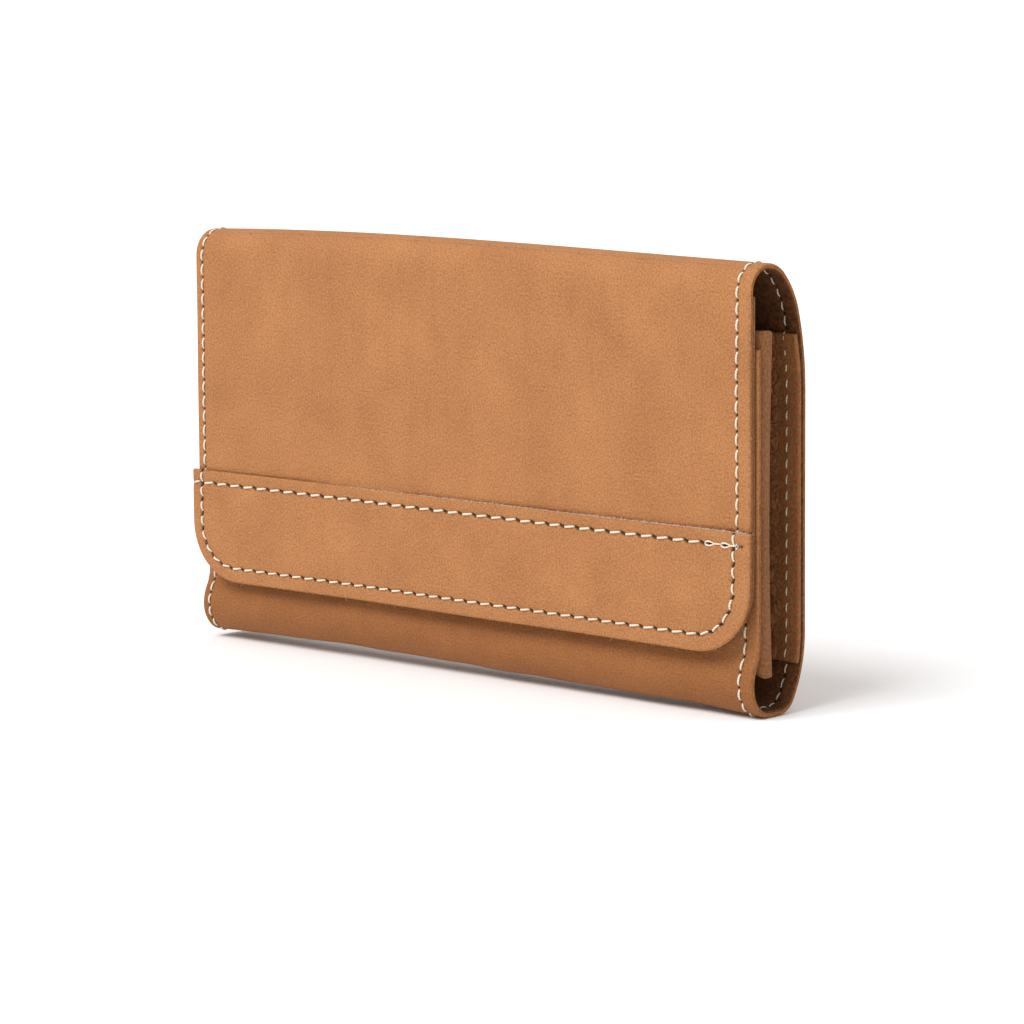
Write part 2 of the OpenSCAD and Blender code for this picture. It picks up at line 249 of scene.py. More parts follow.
def upright(face_y, on_flap=False):
    """A place function for a panel that stands upright, with s as its height."""
    def place(x, s, d):
        x, s, d = (np.asarray(a, float) for a in (x, s, d))
        y = face_y + d
        if on_flap:
            y = y - flare(x, s)
        return np.stack(settle(x, y + 0 * x, s + 0 * x), -1)
    return place


BAND_FACE = upright(BAND_Y, on_flap=True)


def flat_panel(face_y):
    """A place function for a flat panel inside the wallet."""
    def place(x, s, d):
        x, s, d = (np.asarray(a, float) for a in (x, s, d))
        return np.stack((x, face_y + d + 0 * x, s), -1)
    return place


# ---------------------------------------------------------------- meshes cut from leather

GRAIN, EDGE, FLESH = 0, 1, 2                # material slots of a leather piece
EDGE_ROWS = (0.12, 0.3, 0.6)                # rows of points that follow the rounded edge
SEAM_ROWS = (-0.9, -0.4, 0, 0.4, 0.9)       # and those that follow a seam's groove
HOLE_RINGS = (0.24, 0.5)
HOLE_R = 0.32
GROOVE_DEPTH, GROOVE_R = 0.2, 0.55

def rounded(half, low, high, radius, step=1.5):
    """A rectangle with two round lower corners, as a list of points anticlockwise."""
    points = []
    for side in (-1, 1):
        turns = [i * math.pi / 2 / 12 for i in range(13)]
        for a in (turns if side < 0 else turns[::-1]):
            points.append((side * (half - radius + radius * math.cos(a)),
                           low + radius - radius * math.sin(a)))
    points += [(half, high), (-half, high)]
    return spaced(points, step)


def box_outline(x0, x1, s0, s1, step=1.5):
    """A rectangle as a closed line of points."""
    return spaced([(x0, s0), (x1, s0), (x1, s1), (x0, s1)], step)


def spaced(corners, step, closed=True):
    """The same line with points no further apart than step."""
    out = []
    pairs = list(zip(corners, corners[1:] + corners[:1] if closed else corners[1:]))
    for (ax, ay), (bx, by) in pairs:
        n = max(1, math.ceil(math.hypot(bx - ax, by - ay) / step))
        out += [(ax + (bx - ax) * i / n, ay + (by - ay) * i / n) for i in range(n)]
    return out if closed else out + [corners[-1]]


def distance(points, lines):
    """From each point to the nearest of some lines, each a list of points."""
    best = np.full(len(points), 1e9)
    for line in lines:
        line = np.asarray(line, float)
        a, b = line[:-1], line[1:]
        for p, q in zip(a, b):
            pq = q - p
            t = np.clip(((points - p) @ pq) / (pq @ pq + 1e-12), 0, 1)
            near = p + t[:, None] * pq
            best = np.minimum(best, np.hypot(*(points - near).T))
    return best


def inset(loop, gap):
    """The closed anticlockwise loop, moved inwards by gap."""
    loop = np.asarray(loop, float)
    before, after = loop - np.roll(loop, 1, 0), np.roll(loop, -1, 0) - loop
    before /= np.linalg.norm(before, axis=1)[:, None]
    after /= np.linalg.norm(after, axis=1)[:, None]
    normal = before + after
    normal = np.stack([-normal[:, 1], normal[:, 0]], 1)
    size = np.linalg.norm(normal, axis=1)
    return loop + normal / size[:, None] * gap / np.maximum(size[:, None] / 2, 0.5)


def cut(name, outline, thick, place, materials, raw=None, seams=(), holes=(), grooves=(),
        window=None, step=2.0, edge_round=0.4, keep=0.12):
    """A leather piece: cut to outline, thick millimetres deep, folded by place.

    raw lists the lines where the hide is cut; it is the whole outline by default. Along seams
    and tooled grooves the leather is pulled in, and at holes a needle went through it.
    """
    loop = [tuple(p) for p in outline]
    if raw is None:
        raw = [loop + loop[:1]] + ([window + window[:1]] if window else [])
    special = []
    for gap in EDGE_ROWS:
        special += [tuple(p) for p in inset(loop, gap)]
    for line in list(seams) + list(grooves):
        for off in SEAM_ROWS:
            special += beside(line, off, 1.2)
    hole_points = []
    for hx, hs in holes:
        hole_points.append((hx, hs))
        for ring in HOLE_RINGS:
            hole_points += [(hx + ring * math.cos(a), hs + ring * math.sin(a))
                            for a in np.arange(6) * math.pi / 3]
    ends = np.array(loop)
    low, high = ends.min(0), ends.max(0)
    grid = [(x, s)
            for j, s in enumerate(np.arange(low[1] + step / 2, high[1], step * 0.87))
            for x in np.arange(low[0] + (0.5 + 0.5 * (j % 2)) * step, high[0], step)]
    edges = [(i, (i + 1) % len(loop)) for i in range(len(loop))]
    points = list(loop)
    if window:
        first = len(points)
        points += window
        edges += [(first + i, first + (i + 1) % len(window)) for i in range(len(window))]
    fixed = len(points)
    points = thin(points, hole_points, keep)
    points = thin(points, [p for p in special if in_box(p, low, high)], 0.2)
    points = thin(points, grid, step * 0.5)
    verts, _, tris, origin, _, _ = delaunay_2d_cdt(
        [tuple(map(float, p)) for p in points], edges, [], 1, 1e-5, True)
    flat = np.array([tuple(v) for v in verts])
    tris = np.array([t for t in tris if len(t) == 3])
    where = {}
    for i, ids in enumerate(origin):
        for j in ids:
            if j < fixed:
                where[j] = i
    middle = flat[tris].mean(1)
    kept = within(middle, loop)
    if window:
        kept &= ~within(middle, window)
    tris = tris[kept]
    return thicken(name, flat, tris, [[where[i] for i in range(len(loop))]] + (
        [[where[len(loop) + i] for i in range(len(window))][::-1]] if window else []),
        thick, place, materials, raw, list(seams) + list(grooves), holes, edge_round)


def within(points, loop):
    """Which of some points are inside a closed line."""
    found = np.zeros(len(points), bool)
    x, y = points.T
    for (ax, ay), (bx, by) in zip(loop, loop[1:] + loop[:1]):
        if ay != by:
            found ^= ((ay > y) != (by > y)) & (x < ax + (y - ay) * (bx - ax) / (by - ay))
    return found


def in_box(p, low, high):
    """Whether a point is between two corners."""
    return low[0] < p[0] < high[0] and low[1] < p[1] < high[1]


def beside(line, off, step):
    """Points along a line, off to its left."""
    line = np.asarray(spaced([tuple(p) for p in line], step, closed=False))
    ahead = np.gradient(line, axis=0)
    ahead /= np.linalg.norm(ahead, axis=1)[:, None]
    return [tuple(p) for p in line + off * np.stack([-ahead[:, 1], ahead[:, 0]], 1)]


def thin(points, more, gap):
    """points, and those of more that keep gap from them."""
    tree = nearest(points)
    taken = {}
    for p in more:
        if tree.find((p[0], p[1], 0))[2] > gap:
            taken.setdefault((round(p[0] / gap), round(p[1] / gap)), p)
    return points + list(taken.values())


def nearest(points):
    """A tree that finds the nearest of some flat points."""
    tree = kdtree.KDTree(len(points))
    for i, p in enumerate(points):
        tree.insert((p[0], p[1], 0), i)
    tree.balance()
    return tree


def thicken(name, flat, tris, loops, thick, place, materials, raw, lines, holes, edge_round):
    """Closes a flat triangulation into a solid hide, with its edges rounded and a little rough."""
    n = len(flat)
    to_edge = distance(flat, raw) if raw else np.full(n, 9.0)
    r = min(edge_round, thick * 0.4)
    near = np.clip(r - to_edge, 0, r)
    drop = r - np.sqrt(np.maximum(r * r - near * near, 0))
    groove = np.zeros(n)
    if lines:
        groove = GROOVE_DEPTH * np.exp(-(distance(flat, lines) / GROOVE_R) ** 2)
    pit = np.zeros(n)
    if len(holes):
        tree = nearest(holes)
        gap = np.array([tree.find((p[0], p[1], 0))[2] for p in flat])
        pit = np.clip(1.6 - gap / HOLE_R, 0, 1)
    sink = drop + groove * min(1, thick) + 0.4 * min(1, thick) * pit
    front = place(flat[:, 0], flat[:, 1], sink)
    back = place(flat[:, 0], flat[:, 1], thick - 0.8 * sink)
    verts = [front, back]
    hide = [np.column_stack([flat, sink]), np.column_stack([flat, np.full(n, thick)])]
    pits = [pit, pit]
    faces = [tris, tris[:, ::-1] + n]
    kinds = [np.full(len(tris), GRAIN), np.full(len(tris), FLESH)]
    count = 2 * n
    draw = random.Random(name)
    for loop in loops:
        loop = np.array(loop)
        cut_here = to_edge[loop] < 0.01
        rows = [loop]
        for share in (0.36, 0.68):
            depth = r + (thick - 1.8 * r) * share
            rough = np.array([draw.uniform(-0.05, 0.05) for _ in loop]) * cut_here
            ring = place(flat[loop, 0], flat[loop, 1], np.full(len(loop), depth) + rough)
            verts.append(ring)
            hide.append(np.column_stack([flat[loop], np.full(len(loop), depth)]))
            pits.append(np.zeros(len(loop)))
            rows.append(np.arange(count, count + len(loop)))
            count += len(loop)
        rows.append(loop + n)
        for a, b in zip(rows, rows[1:]):
            a2, b2 = np.roll(a, -1), np.roll(b, -1)
            faces.append(np.column_stack([a, b, b2]))
            faces.append(np.column_stack([a, b2, a2]))
            kinds += [np.full(len(a), EDGE)] * 2
    obj = make_object(name, np.concatenate(verts), np.concatenate(faces),
                      np.concatenate(kinds), materials)
    write_attribute(obj, "hide", np.concatenate(hide))
    write_attribute(obj, "pit", np.concatenate(pits))
    return obj


def make_object(name, verts, faces, kinds, materials):
    """A smooth mesh object in the scene, sharp where the flesh side meets the cut edge."""
    mesh = bpy.data.meshes.new(name)
    mesh.from_pydata([tuple(v) for v in verts * MM], [], [tuple(map(int, f)) for f in faces])
    for material in materials:
        mesh.materials.append(material)
    mesh.polygons.foreach_set("material_index", np.asarray(kinds, np.int32))
    mesh.polygons.foreach_set("use_smooth", np.ones(len(mesh.polygons), bool))
    work = bmesh.new()
    work.from_mesh(mesh)
    bmesh.ops.recalc_face_normals(work, faces=work.faces)
    for edge in work.edges:
        kinds_here = {f.material_index for f in edge.link_faces}
        if len(kinds_here) > 1 and FLESH in kinds_here:
            edge.smooth = False
    work.to_mesh(mesh)
    work.free()
    obj = bpy.data.objects.new(name, mesh)
    bpy.context.scene.collection.objects.link(obj)
    return obj


def write_attribute(obj, name, values):
    """Stores a number or a vector at each point, for the materials to read."""
    kind = "FLOAT_VECTOR" if values.ndim == 2 else "FLOAT"
    made = obj.data.attributes.new(name, kind, "POINT")
    made.data.foreach_set("vector" if values.ndim == 2 else "value",
                          np.asarray(values, np.float32).ravel())


# ---------------------------------------------------------------- stitches

STATIONS = 9                # rings along a stitch
SIDES = 8                   # points round it
DIP, RISE = 0.42, 0.56      # how deep a stitch's ends dive, and how far its middle rises from there


def sew(name, stitches, place, material, base=0.0, out=-1, full=1.0):
    """A row of stitches. Each is (start, end, slant, bow) in hide space.

    Each stitch rises out of one needle hole and dives into the next. base is the depth of the
    face that they lie on, and out is -1 on the outer face and 1 on the inner one.
    """
    verts, faces, hide = [], [], []
    u = np.linspace(0, 1, STATIONS)
    arch = np.sin(math.pi * u)
    turn = np.arange(SIDES) * 2 * math.pi / SIDES
    radius = sizes().thread / MM / 2 * full
    for number, (start, end, slant, bow) in enumerate(stitches):
        depth = base(end[1]) if callable(base) else base
        start, end = np.array(start, float), np.array(end, float)
        along = end - start
        length = np.linalg.norm(along)
        ahead = along / length
        aside = np.array([-ahead[1], ahead[0]])
        middle = start + u[:, None] * along
        middle = middle + aside * (slant * (u - 0.5) + bow * arch)[:, None]
        height = RISE * arch ** 0.55 - DIP
        r = radius * (0.7 + 0.3 * arch ** 0.5)
        for i in range(STATIONS):
            across = middle[i] + aside * (r[i] * np.cos(turn))[:, None]
            lift = height[i] + 0.8 * r[i] * np.sin(turn)
            verts.append(place(across[:, 0], across[:, 1], depth + out * lift))
            hide.append(np.column_stack([r[i] * np.cos(turn), np.full(SIDES, u[i] * length),
                                         lift + 7.3 * number]))
        first = number * STATIONS * SIDES
        for i in range(STATIONS - 1):
            for j in range(SIDES):
                a, b = first + i * SIDES + j, first + i * SIDES + (j + 1) % SIDES
                faces += [(a, b, b + SIDES), (a, b + SIDES, a + SIDES)]
        last = first + (STATIONS - 1) * SIDES
        for j in range(1, SIDES - 1):
            faces += [(first, first + j + 1, first + j), (last, last + j, last + j + 1)]
    obj = make_object(name, np.concatenate(verts), np.array(faces), np.zeros(len(faces)),
                      [material])
    write_attribute(obj, "hide", np.concatenate(hide))
    return obj


def stitches_along(holes, slant=0.2, hidden=0.36):
    """Stitches between neighbouring holes."""
    out = []
    for a, b in zip(holes, holes[1:]):
        a, b = np.array(a, float), np.array(b, float)
        ahead = (b - a) / np.linalg.norm(b - a)
        out.append((a + ahead * hidden, b - ahead * hidden, slant, 0.0))
    return out


def side_holes(side, s0, s1):
    """Needle holes of a side seam between two distances, on one even spacing all along."""
    first = math.ceil(s0 / PITCH)
    last = math.floor(s1 / PITCH)
    return [(SEAM_X[side], k * PITCH) for k in range(first, last + 1)]


def slits(holes, reach=0.42, slant=-0.2):
    """Needle holes that the blade point has left as short slanting slits along the seam."""
    line = np.asarray(holes, float)
    ahead = np.gradient(line, axis=0)
    ahead /= np.linalg.norm(ahead, axis=1)[:, None]
    aside = np.stack([-ahead[:, 1], ahead[:, 0]], 1)
    return [tuple(p) for t in (-1, 0, 1) for p in line + t * (reach * ahead + slant * aside)]


BAND_TURNS = [
    (BAND_TOP - BAND_SEAM_Z - BAND_SEAM_R, 0), arc(BAND_SEAM_R, 90),
    (SEAM_X[1] - SEAM_X[-1] - 2 * BAND_SEAM_R, 0), arc(BAND_SEAM_R, 90),
    (BAND_TOP - BAND_SEAM_Z - BAND_SEAM_R, 0),
]
BAND_SEAM = Chain((SEAM_X[-1], BAND_TOP), -90, BAND_TURNS)


def band_holes():
    """Needle holes round the band. They are closer together at its ends than along its edge."""
    side = BAND_SEAM.reach[2]
    marks = np.cumsum([0, side / PITCH, BAND_TURNS[2][0] / BOTTOM_PITCH, side / PITCH])
    count = round(marks[-1])
    x, z, _ = BAND_SEAM.at(np.interp(np.arange(count + 1) * marks[-1] / count, marks,
                                     [0, side, BAND_SEAM.length - side, BAND_SEAM.length]))
    return list(zip(x, z))


def eyes(holes):
    """The needle holes in the middle of the doubled stitches' loops."""
    return [(a[0] * 0.52 + b[0] * 0.48 + off, a[1]) for a, b in zip(holes, holes[1:])
            for off in (-0.25, 0.25)]


def top_holes():
    """Needle holes of the band's upper seam: one pitch past each side seam at both ends."""
    left, right = SEAM_X[-1], SEAM_X[1]
    count = round((right - left) / TOP_PITCH)
    pitch = (right - left) / count
    return [(-BAND_HALF - 0.2, TOP_SEAM_Z)] + [
        (left + k * pitch, TOP_SEAM_Z) for k in range(count + 1)] + [
        (right + 0.5 * pitch, TOP_SEAM_Z)]


# ---------------------------------------------------------------- materials

def linear(colour):
    """An sRGB hex colour as linear red, green, blue and alpha."""
    parts = [int(colour[i:i + 2], 16) / 255 for i in (1, 3, 5)]
    return [c / 12.92 if c <= 0.04045 else ((c + 0.055) / 1.055) ** 2.4 for c in parts] + [1.0]


def add(tree, kind, settings=None, **inputs):
    """Adds a node and returns its first output in use.

    Settings are its properties. Inputs are values, or sockets to link from; each is named by its
    socket, in small letters with _ for a space, or _0, _1 for a number.
    """
    made = tree.nodes.new(kind)
    for key, value in (settings or {}).items():
        setattr(made, key, value)
    named = {s.name.lower().replace(" ", "_"): s for s in reversed(made.inputs) if s.enabled}
    for key, value in inputs.items():
        plug(tree, made.inputs[int(key[1:])] if key[0] == "_" else named[key], value)
    return next(s for s in made.outputs if s.enabled)


def plug(tree, socket, value):
    """Gives a socket its value, or links it from another socket."""
    if isinstance(value, bpy.types.NodeSocket):
        tree.links.new(value, socket)
    else:
        socket.default_value = value


COLOUR_MIX = {"data_type": "RGBA"}
DARKEN = {"data_type": "RGBA", "blend_type": "MULTIPLY"}
TIMES = {"operation": "MULTIPLY"}
TIMES_PLUS = {"operation": "MULTIPLY_ADD"}
# Painted shade inside the needle holes: near black where the holes go deep.
NEEDLE_HOLE_SHADE = linear("#1C0E06")
CLOUDS = 0.28               # how far leather's clouds go towards its darkest and lightest


def start_material(name):
    """A new material with its tree and shader, and where it is on the hide, in millimetres."""
    made = bpy.data.materials.new(name)
    made.use_nodes = True
    tree = made.node_tree
    hide = add(tree, "ShaderNodeAttribute", {"attribute_name": "hide"}).node.outputs["Vector"]
    return made, tree, tree.nodes["Principled BSDF"], hide


def set_shader(tree, shader, **inputs):
    """Gives the shader's sockets their values, or links them."""
    for key, value in inputs.items():
        plug(tree, shader.inputs[key.replace("_", " ")], value)


def dyed(tree, tone, layers):
    """Lays colours over tone, each where its pattern says.

    A layer is (pattern, low, high, share at low, share at high, linear colour).
    """
    for pattern, low, high, at_low, at_high, colour in layers:
        share = add(tree, "ShaderNodeMapRange", value=pattern, from_min=low, from_max=high,
                    to_min=at_low, to_max=at_high)
        tone = add(tree, "ShaderNodeMix", COLOUR_MIX, factor=share, a=tone, b=colour)
    return tone


def painted_foot_shade(tree, hide, tone, start, full, fading, end):
    """Darkens the strip between distances along it, round the bottom fold, with painted shade."""
    along = add(tree, "ShaderNodeSeparateXYZ", vector=hide).node.outputs[1]
    rise = add(tree, "ShaderNodeMapRange", value=along, from_min=start, from_max=full)
    fall = add(tree, "ShaderNodeMapRange", value=along, from_min=fading, from_max=end, to_min=1.0,
               to_max=0.0)
    share = add(tree, "ShaderNodeMath", TIMES, _0=rise, _1=fall)
    return add(tree, "ShaderNodeMix", DARKEN, factor=share, a=tone, b=(0.7, 0.61, 0.45, 1))


def creases(tree, hide, size, start, full, fading, end):
    """A net of fine creases between distances along the hide: 1 in a crease, 0 between them."""
    bent = add(tree, "ShaderNodeTexNoise", vector=hide, scale=1 / 2.5, detail=2.0)
    warped = add(tree, "ShaderNodeVectorMath", TIMES_PLUS, _0=(3, 3, 3),
                 _1=bent.node.outputs["Color"], _2=hide)
    long = add(tree, "ShaderNodeMapping", vector=warped, scale=(0.6, 1, 1))
    lines = add(tree, "ShaderNodeTexVoronoi", {"feature": "DISTANCE_TO_EDGE"}, vector=long,
                scale=1 / size)
    crease = add(tree, "ShaderNodeMapRange", value=lines, from_min=0.0, from_max=0.2, to_min=1.0,
                 to_max=0.0)
    along = add(tree, "ShaderNodeSeparateXYZ", vector=hide).node.outputs[1]
    for low, high, at_low in ((start, full, 0.0), (fading, end, 1.0)):
        where = add(tree, "ShaderNodeMapRange", value=along, from_min=low, from_max=high,
                    to_min=at_low, to_max=1 - at_low)
        crease = add(tree, "ShaderNodeMath", TIMES, _0=crease, _1=where)
    return crease


def leather(name, colour, dark, light, grain=0.5, depth=0.13, rough=0.74, streaks=0.25,
            pull=(2.4, 30, 9), foot_shade=None, creases_and_shade=None):
    """Leather's grain side. colour is its mean, dark and light the ends of its mottling.

    pull is the size of its streaks along x, s and d, in millimetres. foot_shade gives the distances
    along the strip where painted shade starts to darken it and stops, and creases_and_shade gives a
    net of creases its size and the distances between which it lies; the creases are dented and
    painted dark as shade.
    """
    dark, light = linear(dark), linear(light)
    made, tree, shader, hide = start_material(name)
    pit = add(tree, "ShaderNodeAttribute", {"attribute_name": "pit"}).node.outputs["Fac"]
    cloud, patch, speck = (
        add(tree, "ShaderNodeTexNoise", vector=hide, scale=1 / size, detail=3.0, roughness=break_up)
        for size, break_up in ((17, 0.55), (4.2, 0.6), (grain, 0.65)))
    pulled = add(tree, "ShaderNodeMapping", vector=hide, scale=[1 / size for size in pull])
    streak = add(tree, "ShaderNodeTexNoise", vector=pulled, scale=1.0, detail=4.0,
                 roughness=0.6)
    # The clouds are soft, near the mean colour. The specks are the open grain.
    shaded, lit = ([CLOUDS * a + (1 - CLOUDS) * b for a, b in zip(end, colour)]
                   for end in (dark, light))
    tone = dyed(tree, shaded, [
        (cloud, 0.3, 0.7, 0.0, 1.0, lit), (patch, 0.3, 0.6, 0.12, 0.0, dark),
        (streak, 0.56, 0.8, 0.0, streaks, dark), (speck, 0.34, 0.5, 0.66, 0.0, dark),
        (speck, 0.5, 0.68, 0.0, 0.62, light)])
    if foot_shade:
        tone = painted_foot_shade(tree, hide, tone, *foot_shade)
    if creases_and_shade:
        crease = creases(tree, hide, *creases_and_shade)
        # Painted shade: the creases are darkened as if shade lies in them.
        tone = dyed(tree, tone, [(crease, 0.2, 1.0, 0.0, 0.5, linear("#3A2110"))])
    # The needle holes are painted near black as shade.
    tone = dyed(tree, tone, [(pit, 0.0, 1.0, 0.0, 1.0, NEEDLE_HOLE_SHADE)])
    cells = add(tree, "ShaderNodeTexVoronoi", {"feature": "SMOOTH_F1"}, vector=hide,
                scale=1 / (1.6 * grain), smoothness=0.6)
    wrinkled = add(tree, "ShaderNodeTexNoise", vector=hide, scale=1 / 6, detail=6.0,
                   roughness=0.72, distortion=1.1)
    fine = add(tree, "ShaderNodeMapRange", value=speck, from_min=0.2, from_max=0.8)
    level = add(tree, "ShaderNodeMath", TIMES_PLUS, _0=cells, _1=0.5, _2=fine)
    level = add(tree, "ShaderNodeMath", TIMES_PLUS, _0=wrinkled, _1=2.2, _2=level)
    bump = add(tree, "ShaderNodeBump", height=level, strength=1.0, distance=depth * MM)
    if creases_and_shade:
        bump = add(tree, "ShaderNodeBump", {"invert": True}, height=crease, strength=1.0,
                   distance=0.3 * MM, normal=bump)
    matt = add(tree, "ShaderNodeMapRange", value=speck, from_min=0.3, from_max=0.7,
               to_min=rough + 0.06, to_max=rough - 0.08)
    set_shader(tree, shader, Base_Color=tone, Normal=bump, Roughness=matt,
               Specular_IOR_Level=0.35, Sheen_Weight=0.12, Sheen_Roughness=0.5,
               Sheen_Tint=light)
    return made


def fibrous(name, colour, dark, pale, stretch=(1.4, 1.4, 0.3), depth=0.12):
    """Leather's cut edge or flesh side: a mat of fibres, rough and without any finish."""
    made, tree, shader, hide = start_material(name)
    pit = add(tree, "ShaderNodeAttribute", {"attribute_name": "pit"}).node.outputs["Fac"]
    pulled = add(tree, "ShaderNodeMapping", vector=hide, scale=[1 / size for size in stretch])
    mat = add(tree, "ShaderNodeTexNoise", vector=pulled, scale=1.0, detail=5.0, roughness=0.7,
              distortion=0.6)
    nap = add(tree, "ShaderNodeTexNoise", vector=hide, scale=1 / 0.35, detail=3.0,
              roughness=0.6)
    # The needle holes, in the last layer, are painted near black as shade.
    tone = dyed(tree, linear(dark), [
        (mat, 0.35, 0.65, 0.0, 1.0, linear(colour)),
        (nap, 0.55, 0.75, 0.0, 0.5, linear(pale)),
        (pit, 0.0, 1.0, 0.0, 1.0, NEEDLE_HOLE_SHADE)])
    level = add(tree, "ShaderNodeMath", {"operation": "ADD"}, _0=mat, _1=nap)
    bump = add(tree, "ShaderNodeBump", height=level, strength=1.0, distance=depth * MM)
    set_shader(tree, shader, Base_Color=tone, Normal=bump, Roughness=0.92,
               Specular_IOR_Level=0.2)
    return made


def thread(name, colour, dark):
    """Three plies laid in a twist, with a low waxy shine."""
    made, tree, shader, hide = start_material(name)
    # Plies cross the thread at a slant, 0.5 mm apart: coarser than the real 0.3 mm, to show.
    lay = add(tree, "ShaderNodeMapping", vector=hide, rotation=(0, 0, math.radians(38)))
    plies = add(tree, "ShaderNodeTexWave", {"bands_direction": "Y"}, vector=lay,
                scale=waves(0.5), distortion=0.6, detail=1.0).node.outputs["Fac"]
    fuzz = add(tree, "ShaderNodeTexNoise", vector=hide, scale=1 / 0.5, detail=2.0)
    tone = dyed(tree, linear(dark), [(plies, 0.0, 1.0, 0.0, 1.0, colour),
                                     (fuzz, 0.5, 0.75, 0.0, 0.3, linear(dark))])
    bump = add(tree, "ShaderNodeBump", height=plies, strength=0.8, distance=0.08 * MM)
    set_shader(tree, shader, Base_Color=tone, Normal=bump, Roughness=0.55, Sheen_Weight=0.3)
    return made


def waves(apart):
    """The wave texture's scale that puts its bands this far apart."""
    return math.pi / 10 / apart


def woven(name, colour, dark, pitch):
    """Plain-woven cloth with threads pitch millimetres apart: each goes over and under."""
    made, tree, shader, hide = start_material(name)
    over = 1.0
    for direction in ("X", "Y"):
        band = add(tree, "ShaderNodeTexWave", {"bands_direction": direction}, vector=hide,
                   scale=waves(pitch), distortion=0.4, detail=1.0).node.outputs["Fac"]
        over = add(tree, "ShaderNodeMath", TIMES, _0=over, _1=band)
    soil = add(tree, "ShaderNodeTexNoise", vector=hide, scale=1 / 12, detail=4.0)
    tone = dyed(tree, linear(dark), [(over, 0.0, 1.0, 0.0, 1.0, linear(colour)),
                                     (soil, 0.5, 0.75, 0.0, 0.3, linear(dark))])
    bump = add(tree, "ShaderNodeBump", height=over, strength=0.9, distance=0.15 * MM)
    set_shader(tree, shader, Base_Color=tone, Normal=bump, Roughness=0.86, Sheen_Weight=0.2)
    return made


def metal(name, colour, polished, rough, size):
    """A metal with fine marks size millimetres long, polished brighter where it is rubbed."""
    made, tree, shader, _ = start_material(name)
    place = add(tree, "ShaderNodeTexCoord").node.outputs["Object"]
    pulled = add(tree, "ShaderNodeMapping", vector=place,
                 scale=(1 / (size * MM), 8 / (size * MM), 8 / (size * MM)))
    marks = add(tree, "ShaderNodeTexNoise", vector=pulled, scale=1.0, detail=4.0)
    satin = add(tree, "ShaderNodeMapRange", value=marks, from_min=0.3, from_max=0.7,
                to_min=rough - 0.08, to_max=rough + 0.12)
    tone = dyed(tree, linear(colour), [(marks, 0.0, 1.0, 0.0, 1.0, linear(polished))])
    bump = add(tree, "ShaderNodeBump", height=marks, strength=0.3, distance=0.02 * MM)
    set_shader(tree, shader, Base_Color=tone, Normal=bump, Roughness=satin, Metallic=1.0)
    return made


def nubuck():
    """Vegetable-tanned hide, buffed on the grain side: matt, softly mottled, with a fine nap."""
    return leather("buffed_nubuck_hide", colours().cover, "#88552E", "#C48A55",
                   # Painted shade darkens the cover round its bottom fold, where the wallet's foot
                   # lies in shadow.
                   foot_shade=(60, 72, 96, 116))


def hide_edge():
    """The hide's cut edge, left raw: darker and fibrous, where the tan soaks in deepest."""
    return fibrous("raw_cut_edge", "#A86D3F", "#6A3D1F", "#DDB287")


def flesh_side():
    """The hide's flesh side, unlined inside the folds: brown suede with a short nap."""
    return fibrous("suede_flesh_side", "#6E4324", "#3A2010", "#96653C", stretch=(1.2, 1.2, 1),
                   depth=0.12)


def gusset_hide():
    """Thin split leather for the gussets: browner than the cover, drummed soft, so it creases; its
    creases are painted dark as shade.
    """
    return leather("drummed_split_leather", colours().gusset, "#65401F", "#A06B3A", grain=0.7,
                   depth=0.12, rough=0.78, streaks=0.5, pull=(40, 1.6, 9),
                   creases_and_shade=(1.9, 21, 26, 36, 40))


def pocket_hide():
    """Thin brown lining leather, plated smooth so that cards slide: tighter and glossier."""
    return leather("plated_lining_leather", colours().lining, "#5F3A20", "#8F5F38", grain=0.6,
                   depth=0.035, rough=0.6, streaks=0.15)


def waxed_thread():
    """Bonded polyester top thread in cream: clean and bright, with a low waxy shine."""
    return thread("bonded_cream_thread", colours().thread, "#CDC2AB")


def shaded_bobbin_thread():
    """The same thread on the inner side, greyer and duller than the top: painted shade, for the
    inner stitches that lie in shadow inside the wallet.
    """
    return thread("greyed_bobbin_thread", linear("#D5CAB4"), "#A89C83")


def loose_fibre():
    """Single collagen fibres that the knife pulled out of the cut edge: pale and dull."""
    made, tree, shader, _ = start_material("loose_hide_fibre")
    place = add(tree, "ShaderNodeTexCoord").node.outputs["Object"]
    shade = add(tree, "ShaderNodeTexNoise", vector=place, scale=1 / (1.5 * MM), detail=1.0)
    tone = dyed(tree, linear("#C9A987"), [(shade, 0.0, 1.0, 0.0, 1.0, linear("#FFF6E6"))])
    set_shader(tree, shader, Base_Color=tone, Roughness=0.85)
    return made


def bag_cloth():
    """Unbleached cotton for the coin bag: a visible weave, a little soiled, and no shine."""
    return woven("cotton_bag_cloth", "#A98A62", "#6B5237", 0.5)


def zip_cloth():
    """Woven polyester zip tape, dyed dark brown: a tight, even weave."""
    return woven("polyester_zip_tape", "#5B3A22", "#2E1B0F", 0.45)


def zip_brass():
    """Die-cast brass, tumbled: soft gold with a fine satin scratch."""
    return metal("tumbled_brass", "#C09A4E", "#E2D0A8", 0.32, 1.2)


def magnet_steel():
    """Nickel-plated magnet discs: grey and nearly smooth."""
    return metal("nickel_plated_magnet", "#B9B9B4", "#DEDEDB", 0.25, 2.5)


FINISHES = {
    "cover": nubuck, "edge": hide_edge, "flesh": flesh_side, "gusset": gusset_hide,
    "lining": pocket_hide, "thread": waxed_thread, "bobbin": shaded_bobbin_thread,
    "fibre": loose_fibre, "bag": bag_cloth, "tape": zip_cloth, "brass": zip_brass,
    "magnet": magnet_steel,
}
MATERIALS = {}
HIDE = ("cover", "edge", "flesh")
LINING = ("lining", "edge", "lining")
GUSSET_HIDE = ("gusset", "edge", "gusset")


